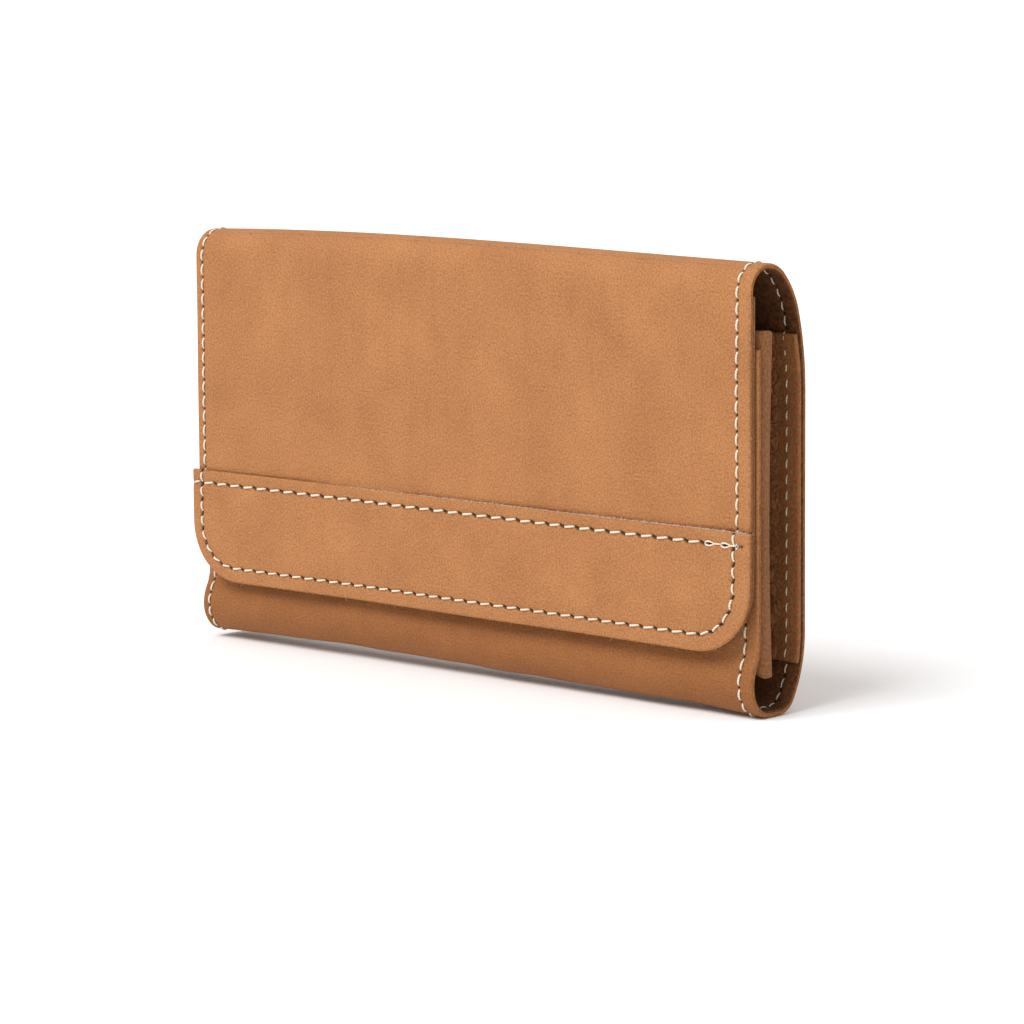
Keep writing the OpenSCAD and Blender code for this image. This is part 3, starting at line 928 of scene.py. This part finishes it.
def finish(name):
    """The named finish, made the first time that it is asked for."""
    if name not in MATERIALS:
        MATERIALS[name] = FINISHES[name]()
    return MATERIALS[name]


def finishes(names):
    """The named finishes, in the order of a piece's material slots."""
    return [finish(name) for name in names]


# ---------------------------------------------------------------- how pieces ride

def point(s):
    """The place of the strip's outer face at distance s, in metres, in the middle."""
    u, v, _ = COVER.at(s)
    return (0.0, float(u) * MM, float(v) * MM)


BENDS = {
    "foot": ("back", "front", (0.0, -0.0005, 0.0), (0.0, -0.0088, 0.013)),
    "nape": ("back", "spine_rear", point(2 * S_NAPE - S_REAR), point(S_REAR)),
    "crown": ("spine_rear", "spine_front", point(S_REAR), point(S_FRONT)),
    "brow": ("spine_front", "flap", point(S_FRONT), point(2 * S_BROW - S_FRONT)),
}


def finish_piece(obj, rides, nodes=()):
    """Hides the frame's nodes that the piece stands in for, and parents it to the body it rides on;
    a piece on a bend is only baked where it is built.
    """
    if nodes:
        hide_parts(*nodes)
    if rides in BENDS:
        body_a, body_b, start, end = BENDS[rides]
        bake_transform(obj)
        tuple(start)
        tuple(end)
    else:
        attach(obj, rides)
    return obj


# ---------------------------------------------------------------- properties

class WalletSizes(bpy.types.PropertyGroup):
    crown: bpy.props.FloatProperty(
        name="Crown", description="How far the middle of the top fold stands up",
        default=0.0012, min=0, max=0.004, unit="LENGTH")
    arch: bpy.props.FloatProperty(
        name="Arch", description="How far the middle of the bottom fold stands off the table",
        default=0.0021, min=0, max=0.004, unit="LENGTH")
    flare: bpy.props.FloatProperty(
        name="Flare", description="How far the flap's lower end stands off the front",
        default=0.0009, min=0, max=0.003, unit="LENGTH")
    thread: bpy.props.FloatProperty(
        name="Thread", description="Thickness of the thread",
        default=0.00054, min=0.0004, max=0.0012, unit="LENGTH")
    fibres: bpy.props.IntProperty(
        name="Fibres", description="Loose fibres along the flap's cut edges",
        default=1700, min=0, max=4000)


def colour(name, what, default):
    """A colour property, with its default as sRGB hex."""
    return bpy.props.FloatVectorProperty(
        name=name, description=f"The {what}'s colour", default=linear(default), size=4, min=0,
        max=1, subtype="COLOR")


class WalletColours(bpy.types.PropertyGroup):
    cover: colour("Cover", "cover leather", "#AE7344")
    gusset: colour("Gusset", "gusset leather", "#86532C")
    lining: colour("Lining", "lining leather", "#7C4F2E")
    thread: colour("Thread", "thread", "#F2EADB")


def sizes():
    """The sizes set in the sidebar."""
    return bpy.context.scene.wallet_sizes


def colours():
    """The colours set in the sidebar."""
    return bpy.context.scene.wallet_colours


# ---------------------------------------------------------------- operators

EDGE_STEP = 1.2             # between the points along an edge that shows
PAST = 9                    # how far a cut edge goes on in the next piece of the same strip


def side_lines(s0, s1):
    """The two side seams between two distances, as lines."""
    return [[(x, s0), (x, s1)] for x in SEAM_X.values()]


def holes_between(s0, s1):
    """The needle holes of both side seams."""
    return side_holes(-1, s0, s1) + side_holes(1, s0, s1)


def strip_outline(s0, s1):
    """A stretch of the cover, with close points where its edges are rounded and its seams run."""
    near = [*EDGE_ROWS, 2.8, 3.3, 3.7, 4.1, 4.6]
    inner = list(np.linspace(-COVER_HALF + 6, COVER_HALF - 6, 84))
    row = [-COVER_HALF] + [-COVER_HALF + n for n in near] + inner
    row += [COVER_HALF - n for n in near[::-1]] + [COVER_HALF]
    rise = spaced([(COVER_HALF, s0), (COVER_HALF, s1)], EDGE_STEP, closed=False)[1:-1]
    return ([(x, s0) for x in row] + rise + [(x, s1) for x in row[::-1]]
            + [(-COVER_HALF, s) for _, s in rise[::-1]])


class WALLET_OT_cover(bpy.types.Operator):
    """Cuts and folds the cover: the front panel, the back, the top fold and the flap"""
    bl_idname = "wallet.cover"
    bl_label = "Cover"

    def execute(self, context):
        h = COVER_HALF
        for name, rides, s0, s1, nodes, step in (
                ("cover_front_panel", "foot", 0, S_BOTTOM, ["cover_front"], 1.8),
                ("cover_back_panel", "nape", S_BOTTOM, S_REAR, ["cover_back"], 1.8),
                ("cover_top_fold", "crown", S_REAR, S_FRONT, ["spine_rear", "spine_front"], 1.2)):
            raw = [[(side * h, s0 - PAST), (side * h, s1 + PAST)] for side in (-1, 1)]
            sewn = s0
            if s0 == 0:
                raw.append([(-h, 0), (h, 0)])
                sewn = FRONT_SEAM_START
            obj = cut(name, strip_outline(s0, s1), COVER_T, fold, finishes(HIDE), raw=raw,
                      seams=side_lines(sewn, s1), holes=holes_between(sewn, s1), step=step)
            finish_piece(obj, rides, nodes)
        row = [p for p in strip_outline(S_FRONT, S_END) if p[1] == S_FRONT]
        right = spaced([(h, S_FRONT), (h, S_BAND)], EDGE_STEP, closed=False)[1:]
        left = [(-h, s) for _, s in right[::-1]]
        low = [(x, S_END + FLAP_BOTTOM - z) for x, z in
               spaced(rounded(h, FLAP_BOTTOM, BAND_TOP, CORNER_R, EDGE_STEP)[:-1], EDGE_STEP,
                      closed=False)]
        low = [p for p in low[::-1]
               if p[1] > S_BAND + 0.6 or (abs(p[0]) < h - 1 and p[1] > S_BAND + 0.5)]
        raw = [[(h, S_FRONT - PAST)] + right + low + left + [(-h, S_FRONT - PAST)]]
        obj = cut("cover_flap", row + right + low + left, COVER_T, fold, finishes(HIDE), raw=raw,
                  seams=side_lines(S_FRONT, S_BAND), holes=holes_between(S_FRONT, S_BAND),
                  step=1.8)
        finish_piece(obj, "brow", ["flap_leather"])
        return {"FINISHED"}


class WALLET_OT_band(bpy.types.Operator):
    """Cuts the band sewn over the flap's lower end, and the lining behind it"""
    bl_idname = "wallet.band"
    bl_label = "Flap band and lining"

    def execute(self, context):
        x, z, _ = BAND_SEAM.at(np.linspace(0, BAND_SEAM.length, 200))
        seam = list(zip(x, z))
        top = top_holes()
        outline = rounded(BAND_HALF, FLAP_BOTTOM, BAND_TOP, CORNER_R, EDGE_STEP)
        holes = slits(band_holes(), 0.4) + slits(top[1:-3], 0.5) + eyes(top[-4:]) + top[-1:]
        obj = cut("flap_band_leather", outline, BAND_T, BAND_FACE,
                  finishes(HIDE), seams=[seam, [top[0], top[-1]]], holes=holes, step=1.7)
        finish_piece(obj, "flap", ["flap_band"])
        outline = rounded(COVER_HALF - 0.2, FLAP_BOTTOM + 0.2, LINING_TOP, CORNER_R, EDGE_STEP)
        obj = cut("flap_lining_leather", outline, LINING_T,
                  upright(FLAP_Y + COVER_T, on_flap=True), finishes(LINING), seams=[seam],
                  step=2.4)
        finish_piece(obj, "flap", ["flap_lining"])
        return {"FINISHED"}


class WALLET_OT_seams(bpy.types.Operator):
    """Sews the cover's side seams, the band's seam and its upper seam"""
    bl_idname = "wallet.seams"
    bl_label = "Seams"

    def execute(self, context):
        thread, bobbin = finishes(("thread", "bobbin"))
        for name, rides, s0, s1, nodes in (
                ("front_seam_thread", "foot", FRONT_SEAM_START, S_BOTTOM, ["front_seam"]),
                ("back_seam_thread", "nape", S_BOTTOM, S_REAR, ["back_seam"]),
                ("top_seam_thread", "crown", S_REAR, S_FRONT,
                 ["spine_rear_seam", "spine_front_seam"]),
                ("flap_seam_thread", "brow", S_FRONT, S_BAND + 1, [])):
            rows, inner = [], []
            for side in (-1, 1):
                holes = side_holes(side, s0, s1 + PITCH)
                rows += stitches_along(holes)
                inner += stitches_along(holes, slant=-0.2, hidden=0.5)
            obj = sew(name, rows, fold, thread)
            back = sew(name + "_inner", inner, fold, bobbin, base=inner_face, out=1,
                       full=0.75)
            join([obj, back])
            finish_piece(obj, rides, nodes)
        band = sew("band_seam_thread", stitches_along(band_holes(), slant=0.4, hidden=0.62),
                   BAND_FACE, thread)
        inner = sew("band_seam_inner", stitches_along(band_holes(), slant=-0.2),
                    upright(FLAP_Y + COVER_T + LINING_T, on_flap=True), bobbin, out=1,
                    full=0.75)
        join([band, inner])
        finish_piece(band, "flap", ["flap_seam"])
        holes = top_holes()
        row = stitches_along(holes[:-3], slant=0.4, hidden=0.72)
        loops = []
        for a, b in zip(holes[-4:], holes[-3:]):       # sewn twice, so each makes a small loop
            a, b = np.array(a), np.array(b)
            loops += [(a + (0.7, 0), b - (0.9, 0), 0, bow) for bow in (0.5, -0.5)]
            loops.append((b - (1.2, 0), b + (0.9, 0), 0.1, 0.1))
        loops = sew("band_top_loops", loops[:-1], BAND_FACE, thread,
                    full=0.78)
        upper = sew("band_top_seam_thread", row, BAND_FACE, thread)
        join([upper, loops])
        finish_piece(upper, "flap", ["band_top_seam"])
        return {"FINISHED"}


def inner_face(s):
    """Depth of the face that the inner side of a side seam lies on at distance s."""
    _, z, _ = COVER.at(s)
    depth = COVER_T
    if GUSSET_LOW < z < (GUSSET_HIGH if s > S_BOTTOM else FRONT_TOP) and s < S_CROWN:
        depth += GUSSET_T
        if s < S_BOTTOM and z > 18:
            depth += FRONT_LINING_Y[1] - FRONT_LINING_Y[0]
    if s > S_CROWN and z < LINING_TOP:
        depth += LINING_T
    return depth


def join(objects):
    """Joins the meshes into the first, with its name."""
    bpy.ops.object.select_all(action="DESELECT")
    for obj in objects:
        obj.select_set(True)
    bpy.context.view_layer.objects.active = objects[0]
    bpy.ops.object.join()


# Front flange, the turn back, the lobe, the valley, the rear leg and the rear flange.
GUSSET_TURNS = [
    (6.5, 0), arc(1.975, 90), (1.5, 0), arc(1.975, 80), (12.4, 0), arc(0.9, -145), (8.62, 0),
    arc(3, -25), (5.31, 0),
]
GUSSET_PATH = Chain((80, FRONT_Y + COVER_T), 0, GUSSET_TURNS)
GUSSET_LOW, GUSSET_HIGH = 11, 87


def gusset_place(side):
    """The gusset folded between front and back. s runs along its fold and x is its height.

    It is deepest at the middle, and it puckers between its fold and the rear seam.
    """
    _, end, _ = GUSSET_PATH.at(GUSSET_PATH.length)
    front = FRONT_Y + COVER_T
    stretch = (BACK_Y - COVER_T - GUSSET_T - front) / (float(end) - front)
    lobe, valley, rear = (GUSSET_PATH.reach[i] for i in (2, 5, 7))

    def place(x, s, d):
        z, s, d = (np.asarray(a, float) for a in (x, s, d))
        u, v, h = GUSSET_PATH.at(s)
        loose = ease((s - lobe) / 5) * ease((rear + 1 - s) / 3)
        pucker = ease((s - valley + 3) / 4) * ease((rear + 2 - s) / 4)
        d = d + loose * (0.3 * np.sin(s * 0.9 + z * 0.03 + 1.2 * np.sin(z / 21))
                         + 0.12 * np.sin(s * 2.3 - z * 0.05 + np.sin(z / 11)))
        d = d + pucker * (0.26 * np.sin(z * 0.86 + 2.1 * np.sin(s * 0.55 + z * 0.13))
                          + 0.2 * np.sin(z * 1.9 - s * 1.3 + 1.7 * np.sin(z * 0.31))
                          + 0.1 * np.sin(z * 3.4 + s * 1.9 + 2.1 * np.sin(z * 0.47 + s)))
        u = u - d * np.sin(h)
        v = front + (v + d * np.cos(h) - front) * stretch
        v = v + calf(z) * ease((s - valley) / (rear - valley))
        middle = ease((s - 4) / 6) * ease((valley + 2 - s) / 8)
        lower = 2.2 * middle * ease((34 - z) / 24)
        deeper = loose * 1.3 * np.sin(math.pi * (z - GUSSET_LOW) / (GUSSET_HIGH - GUSSET_LOW))
        droop = 1.5 * ease((s - lobe) / 9) * ease((z - 62) / 24)
        return np.stack(settle(side * (u - deeper), v, z - lower - droop), -1)
    return place


def calf(z):
    """How far the cover's back curves forward of its straight part at a height."""
    z = np.clip(z, 0, None)
    low = np.clip(CALF_Z - z, 0, None)
    high = np.clip(z - COVER.at(COVER.reach[9])[1], 0, None)
    return -(CALF_R - np.sqrt(CALF_R ** 2 - low ** 2)) - (
        SHOULDER_R - np.sqrt(SHOULDER_R ** 2 - high ** 2))


class WALLET_OT_gussets(bpy.types.Operator):
    """Folds the two gussets in between the front and the back"""
    bl_idname = "wallet.gussets"
    bl_label = "Gussets"

    def execute(self, context):
        for side, name in ((-1, "gusset_left"), (1, "gusset_right")):
            outline = box_outline(GUSSET_LOW, GUSSET_HIGH, 0, GUSSET_PATH.length, 0.8)
            obj = cut(name + "_leather", outline, GUSSET_T, gusset_place(side),
                      finishes(GUSSET_HIDE), step=0.95, edge_round=0.3)
            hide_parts(name)
            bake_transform(obj)
        return {"FINISHED"}


THUMB_NOTCH = (46, 9, 5)    # its middle, half width and depth


def pocket_outline(x0, x1, low, high, notch=None):
    """A pocket panel. notch is (middle, half width, depth) of a thumb cut in its upper edge."""
    points = [(x0, low), (x1, low), (x1, high)]
    if notch:
        middle, half, depth = notch
        points += [(middle + half * math.cos(a), high - depth * math.sin(a))
                   for a in np.linspace(0, math.pi, 15)]
    points.append((x0, high))
    return spaced(points, 1.5)


ZIP_WINDOW = (64, 69, 75)   # half its length, its bottom and its top
ZIP_SEAM = 1.8              # from the window to the seam round it
ZIP_PITCH = 3.2


class WALLET_OT_pockets(bpy.types.Operator):
    """Makes the pockets on the back's inner face and the lining behind the coin pocket"""
    bl_idname = "wallet.pockets"
    bl_label = "Pockets and linings"

    def execute(self, context):
        for node in ("back_lining", "slip_pocket", "card_slot_3", "card_slot_2", "card_slot_1",
                     "ticket_pocket"):
            x0, x1 = span(node, X)
            y0, y1 = span(node, Y)
            low, high = span(node, Z)
            notch = THUMB_NOTCH if node == "ticket_pocket" else None
            outline = pocket_outline(x0, x1, low, high, notch)
            fold_line = [(x0 + 0.5, high - 2.2), (x1 - 0.5, high - 2.2)]
            thick = y1 - y0 - (0.02 if node != "back_lining" else 0)    # pockets lie clear
            grooves = [] if node in ("back_lining", "ticket_pocket") else [fold_line]
            obj = cut(node + "_leather", outline, thick, flat_panel(y0), finishes(LINING),
                      grooves=grooves, step=3.2, edge_round=0.3)
            finish_piece(obj, "back", [node])
        x0, x1 = span("front_lining", X)
        y0, y1 = FRONT_LINING_Y
        low, high = span("front_lining", Z)
        half, bottom, top = ZIP_WINDOW
        window = box_outline(-half, half, bottom, top)
        half, bottom, top = half + ZIP_SEAM, bottom - ZIP_SEAM, top + ZIP_SEAM
        around = box_outline(-half, half, bottom, top, EDGE_STEP) + [(-half, bottom)]
        obj = cut("front_lining_leather", box_outline(x0, x1, low, high), y1 - y0,
                  flat_panel(y0), finishes(LINING), window=window, grooves=[around],
                  step=3.0, edge_round=0.3)
        finish_piece(obj, "front", ["front_lining"])
        corner = (1e-6, 90)
        path = Chain((-half, bottom), 0, [(2 * half, 0), corner, (top - bottom, 0), corner,
                                          (2 * half, 0), corner, (top - bottom, 0)])
        count = round(path.length / ZIP_PITCH)
        x, z, _ = path.at(np.arange(count + 1) * path.length / count)
        thread = sew("zip_seam_thread", stitches_along(list(zip(x, z))), flat_panel(y1),
                     finish("thread"), out=1)
        finish_piece(thread, "front")
        return {"FINISHED"}


CLOTH_T = 0.35
BAG_BACK_TOP = 66            # the bag's wall next to the lining stops below the zip
METAL = {
    "zip_teeth_upper": ("brass", 0.22), "zip_teeth_lower": ("brass", 0.22),
    "zip_stops": ("brass", 0.25), "zip_slider": ("brass", 0.22), "zip_pull": ("brass", 0.22),
    "front_magnets": ("magnet", 0.15), "flap_magnets": ("magnet", 0.15),
}


def bag_wall(out, half, low):
    """A wall of the coin bag: its walls meet at its sides and bottom and swell apart between."""
    near, far = span("coin_bag", Y)
    middle = (near + far) / 2

    def place(x, s, d):
        x, s, d = (np.asarray(a, float) for a in (x, s, d))
        edge = np.minimum(half - np.abs(x), s - low)
        swell = 0.1 + 0.9 * ease(edge / 9) * (0.9 + 0.1 * np.sin(x / 7 + s / 5))
        y = middle + out * ((far - near) / 2 - CLOTH_T) * swell - out * (CLOTH_T - d)
        return np.stack((x, y, s), -1)
    return place


class WALLET_OT_fittings(bpy.types.Operator):
    """Makes the zip's tapes and the coin bag, and finishes the metal fittings"""
    bl_idname = "wallet.fittings"
    bl_label = "Zip, bag and magnets"

    def execute(self, context):
        for node, (name, bevel) in METAL.items():
            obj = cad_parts[node]
            for slot in obj.material_slots:
                slot.material = finish(name)
            soft = obj.modifiers.new("edges", "BEVEL")
            soft.width = bevel * MM
            soft.segments = 2
            soft.limit_method = "ANGLE"
            soft.angle_limit = math.radians(40)
        tape = finishes(("tape", "tape", "tape"))
        for node in ("zip_tape_upper", "zip_tape_lower"):
            outline = box_outline(*span(node, X), *span(node, Z), 1.0)
            low, high = span(node, Y)
            obj = cut(node + "_cloth", outline, high - low - 0.02, flat_panel(low + 0.01), tape,
                      step=1.6, edge_round=0.12)
            finish_piece(obj, "front", [node])
        low, high = span("coin_bag", Z)
        half = span("coin_bag", X)[1]
        walls = []
        for out, top in ((-1, high), (1, BAG_BACK_TOP)):
            outline = rounded(half, low, top, 6, 1.2)
            walls.append(cut("coin_bag_cloth", outline, CLOTH_T, bag_wall(out, half, low),
                             finishes(("bag", "bag", "bag")), step=2.2, edge_round=0.12))
        join(walls)
        finish_piece(walls[0], "front", ["coin_bag"])
        return {"FINISHED"}


def fibre(start, out, lie, length, radius):
    """The centre line of one loose fibre: it leaves the edge along out and bends towards lie."""
    return [start + (out * t + lie * t * t) * length for t in (0.0, 0.4, 0.75, 1.0)], radius


class WALLET_OT_fibres(bpy.types.Operator):
    """Pulls loose fibres out of the flap's and the band's raw edges"""
    bl_idname = "wallet.fibres"
    bl_label = "Loose fibres"

    def execute(self, context):
        draw = random.Random(7)
        lines = []
        for _ in range(sizes().fibres):
            share = 0.25 + 0.75 * draw.random() ** 0.6
            x = -BAND_HALF + 1 + share * (2 * BAND_HALF - 2)
            d = draw.uniform(0.0, BAND_T * 0.35)
            start = BAND_FACE(x, BAND_TOP - 0.1, d)
            out = np.array([draw.uniform(-0.9, 0.9), draw.uniform(-0.5, 0.1), 0.6])
            lie = np.array([draw.uniform(-0.8, 0.8), -0.1, draw.uniform(-0.6, 0.2)])
            lines.append(fibre(start, out, lie, 0.2 + 0.9 * draw.random() ** 2, 0.042))
        low = rounded(BAND_HALF, FLAP_BOTTOM, BAND_TOP, CORNER_R, EDGE_STEP)[:-2]
        for _ in range(sizes().fibres // 5):
            x, z = low[draw.randrange(len(low))]
            start = BAND_FACE(x + draw.uniform(-0.6, 0.6), z + 0.1, draw.uniform(0.1, 2.2))
            out = np.array([0.35 * x / BAND_HALF, draw.uniform(-0.4, 0.2), -0.8])
            lie = np.array([draw.uniform(-0.6, 0.6), draw.uniform(-0.2, 0.3), 0.3])
            lines.append(fibre(start, out, lie, draw.uniform(0.3, 1.5), 0.02))
        for _ in range(sizes().fibres // 5):
            side = draw.choice((-1, 1))
            start = fold(side * (COVER_HALF - 0.1), draw.uniform(S_FLAP, S_END - 29),
                         draw.uniform(0.1, 1.2))
            out = np.array([side * 0.6, draw.uniform(-0.6, 0.6), draw.uniform(-0.7, 0.7)])
            lie = np.array([-side * 0.3, draw.uniform(-0.4, 0.4), draw.uniform(-0.6, 0.6)])
            lines.append(fibre(start, out, lie, draw.uniform(0.15, 0.5), 0.03))
        verts, faces = [], []
        for line, radius in lines:
            first = len(verts)
            for i, p in enumerate(line):
                r = radius * (1 - 0.2 * i)
                verts += [p + (r, 0, 0), p + (-r / 2, 0, r), p + (-r / 2, r, -r / 2)]
            for i in range(len(line) - 1):
                for j in range(3):
                    a, b = first + 3 * i + j, first + 3 * i + (j + 1) % 3
                    faces += [(a, b, b + 3), (a, b + 3, a + 3)]
            faces += [(first, first + 2, first + 1), (len(verts) - 3, len(verts) - 2,
                                                      len(verts) - 1)]
        obj = make_object("band_edge_fibres", np.array(verts), np.array(faces),
                          np.zeros(len(faces)), [finish("fibre")])
        finish_piece(obj, "flap")
        return {"FINISHED"}


# ---------------------------------------------------------------- stage

CAMERA_AT = (0.6949, -0.7396, 0.1781)
CAMERA_YAW, CAMERA_PITCH, CAMERA_ROLL = 42.86, 7.84, -0.41
LENS = 151.98
FLOOR_HALF = 40.0
LIGHT_TOWARDS, LIGHT_STRENGTH, LIGHT_SPREAD = (0.08, 0.6, -0.79), 2.1, 34
SURROUND = 0.77             # with the light, this brings the floor to white


def sun(name, towards, strength, spread):
    """A wide, even studio light, spread degrees across."""
    data = bpy.data.lights.new(name, "SUN")
    data.energy = strength
    data.angle = math.radians(spread)
    obj = bpy.data.objects.new(name, data)
    bpy.context.scene.collection.objects.link(obj)
    obj.rotation_mode = "QUATERNION"
    obj.rotation_quaternion = Vector(towards).to_track_quat("-Z", "Y")


def paper():
    """Matt white paper sweep: its faint tooth keeps it from looking like plastic."""
    made, tree, shader, _ = start_material("matt_white_paper")
    place = add(tree, "ShaderNodeTexCoord").node.outputs["Object"]
    tooth = add(tree, "ShaderNodeTexNoise", vector=place, scale=1 / (1.5 * MM), detail=3.0)
    tone = dyed(tree, linear("#F7F7F7"), [(tooth, 0.0, 1.0, 0.0, 1.0, linear("#FBFBFB"))])
    set_shader(tree, shader, Base_Color=tone, Roughness=0.95, Specular_IOR_Level=0.1)
    return made


class WALLET_OT_stage(bpy.types.Operator):
    """Lays the floor, sets the lights and points the camera"""
    bl_idname = "wallet.stage"
    bl_label = "Floor, light and camera"

    def execute(self, context):
        scene = context.scene
        far = FLOOR_HALF
        mesh = bpy.data.meshes.new("floor")
        low = min(0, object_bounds()[0][Z])
        mesh.from_pydata([(-far, -far, low), (far, -far, low), (far, far, low),
                          (-far, far, low)], [], [(0, 1, 2, 3)])
        mesh.materials.append(paper())
        floor = bpy.data.objects.new("floor", mesh)
        scene.collection.objects.link(floor)
        floor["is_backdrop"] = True
        sun("key_light", LIGHT_TOWARDS, LIGHT_STRENGTH, LIGHT_SPREAD)
        world = bpy.data.worlds.new("white_surround")
        world.use_nodes = True
        background = world.node_tree.nodes["Background"]
        background.inputs["Color"].default_value = (1, 1, 1, 1)
        background.inputs["Strength"].default_value = SURROUND
        scene.world = world
        scene.view_settings.view_transform = "Standard"
        data = bpy.data.cameras.new("camera")
        data.lens = LENS
        data.sensor_width = 36
        data.clip_end = 20
        camera = bpy.data.objects.new("camera", data)
        scene.collection.objects.link(camera)
        yaw, pitch, roll = (math.radians(a) for a in (CAMERA_YAW, CAMERA_PITCH, CAMERA_ROLL))
        ahead = np.array([-math.sin(yaw) * math.cos(pitch), math.cos(yaw) * math.cos(pitch),
                          -math.sin(pitch)])
        right = np.array([math.cos(yaw), math.sin(yaw), 0])
        up = np.cross(right, ahead)
        side = math.cos(roll) * right + math.sin(roll) * up
        up = -math.sin(roll) * right + math.cos(roll) * up
        camera.matrix_world = Matrix([[*row, p] for row, p in zip(
            np.array([side, up, -ahead]).T, CAMERA_AT)] + [[0, 0, 0, 1]])
        scene.camera = camera
        return {"FINISHED"}


# ---------------------------------------------------------------- panel and main

OPERATORS = (WALLET_OT_cover, WALLET_OT_band, WALLET_OT_seams, WALLET_OT_gussets,
             WALLET_OT_pockets, WALLET_OT_fittings, WALLET_OT_fibres, WALLET_OT_stage)


class WALLET_PT_sidebar(bpy.types.Panel):
    """Lists the wallet's sizes, colours and pieces"""
    bl_idname = "WALLET_PT_sidebar"
    bl_label = "Wallet"
    bl_space_type = "VIEW_3D"
    bl_region_type = "UI"
    bl_category = "Wallet"

    def draw(self, context):
        for group in (context.scene.wallet_sizes, context.scene.wallet_colours):
            box = self.layout.box()
            for key in group.bl_rna.properties.keys():
                if key not in ("rna_type", "name"):
                    box.prop(group, key)
        for operator in OPERATORS:
            self.layout.operator(operator.bl_idname)


CLASSES = (WalletSizes, WalletColours) + OPERATORS + (WALLET_PT_sidebar,)


def register():
    for made in CLASSES:
        bpy.utils.register_class(made)
    bpy.types.Scene.wallet_sizes = bpy.props.PointerProperty(type=WalletSizes)
    bpy.types.Scene.wallet_colours = bpy.props.PointerProperty(type=WalletColours)


def unregister():
    del bpy.types.Scene.wallet_sizes
    del bpy.types.Scene.wallet_colours
    for made in reversed(CLASSES):
        bpy.utils.unregister_class(made)


def main():
    register()
    for operator in OPERATORS:
        group, name = operator.bl_idname.split(".")
        getattr(getattr(bpy.ops, group), name)()


if __name__ == "__main__":
    main()
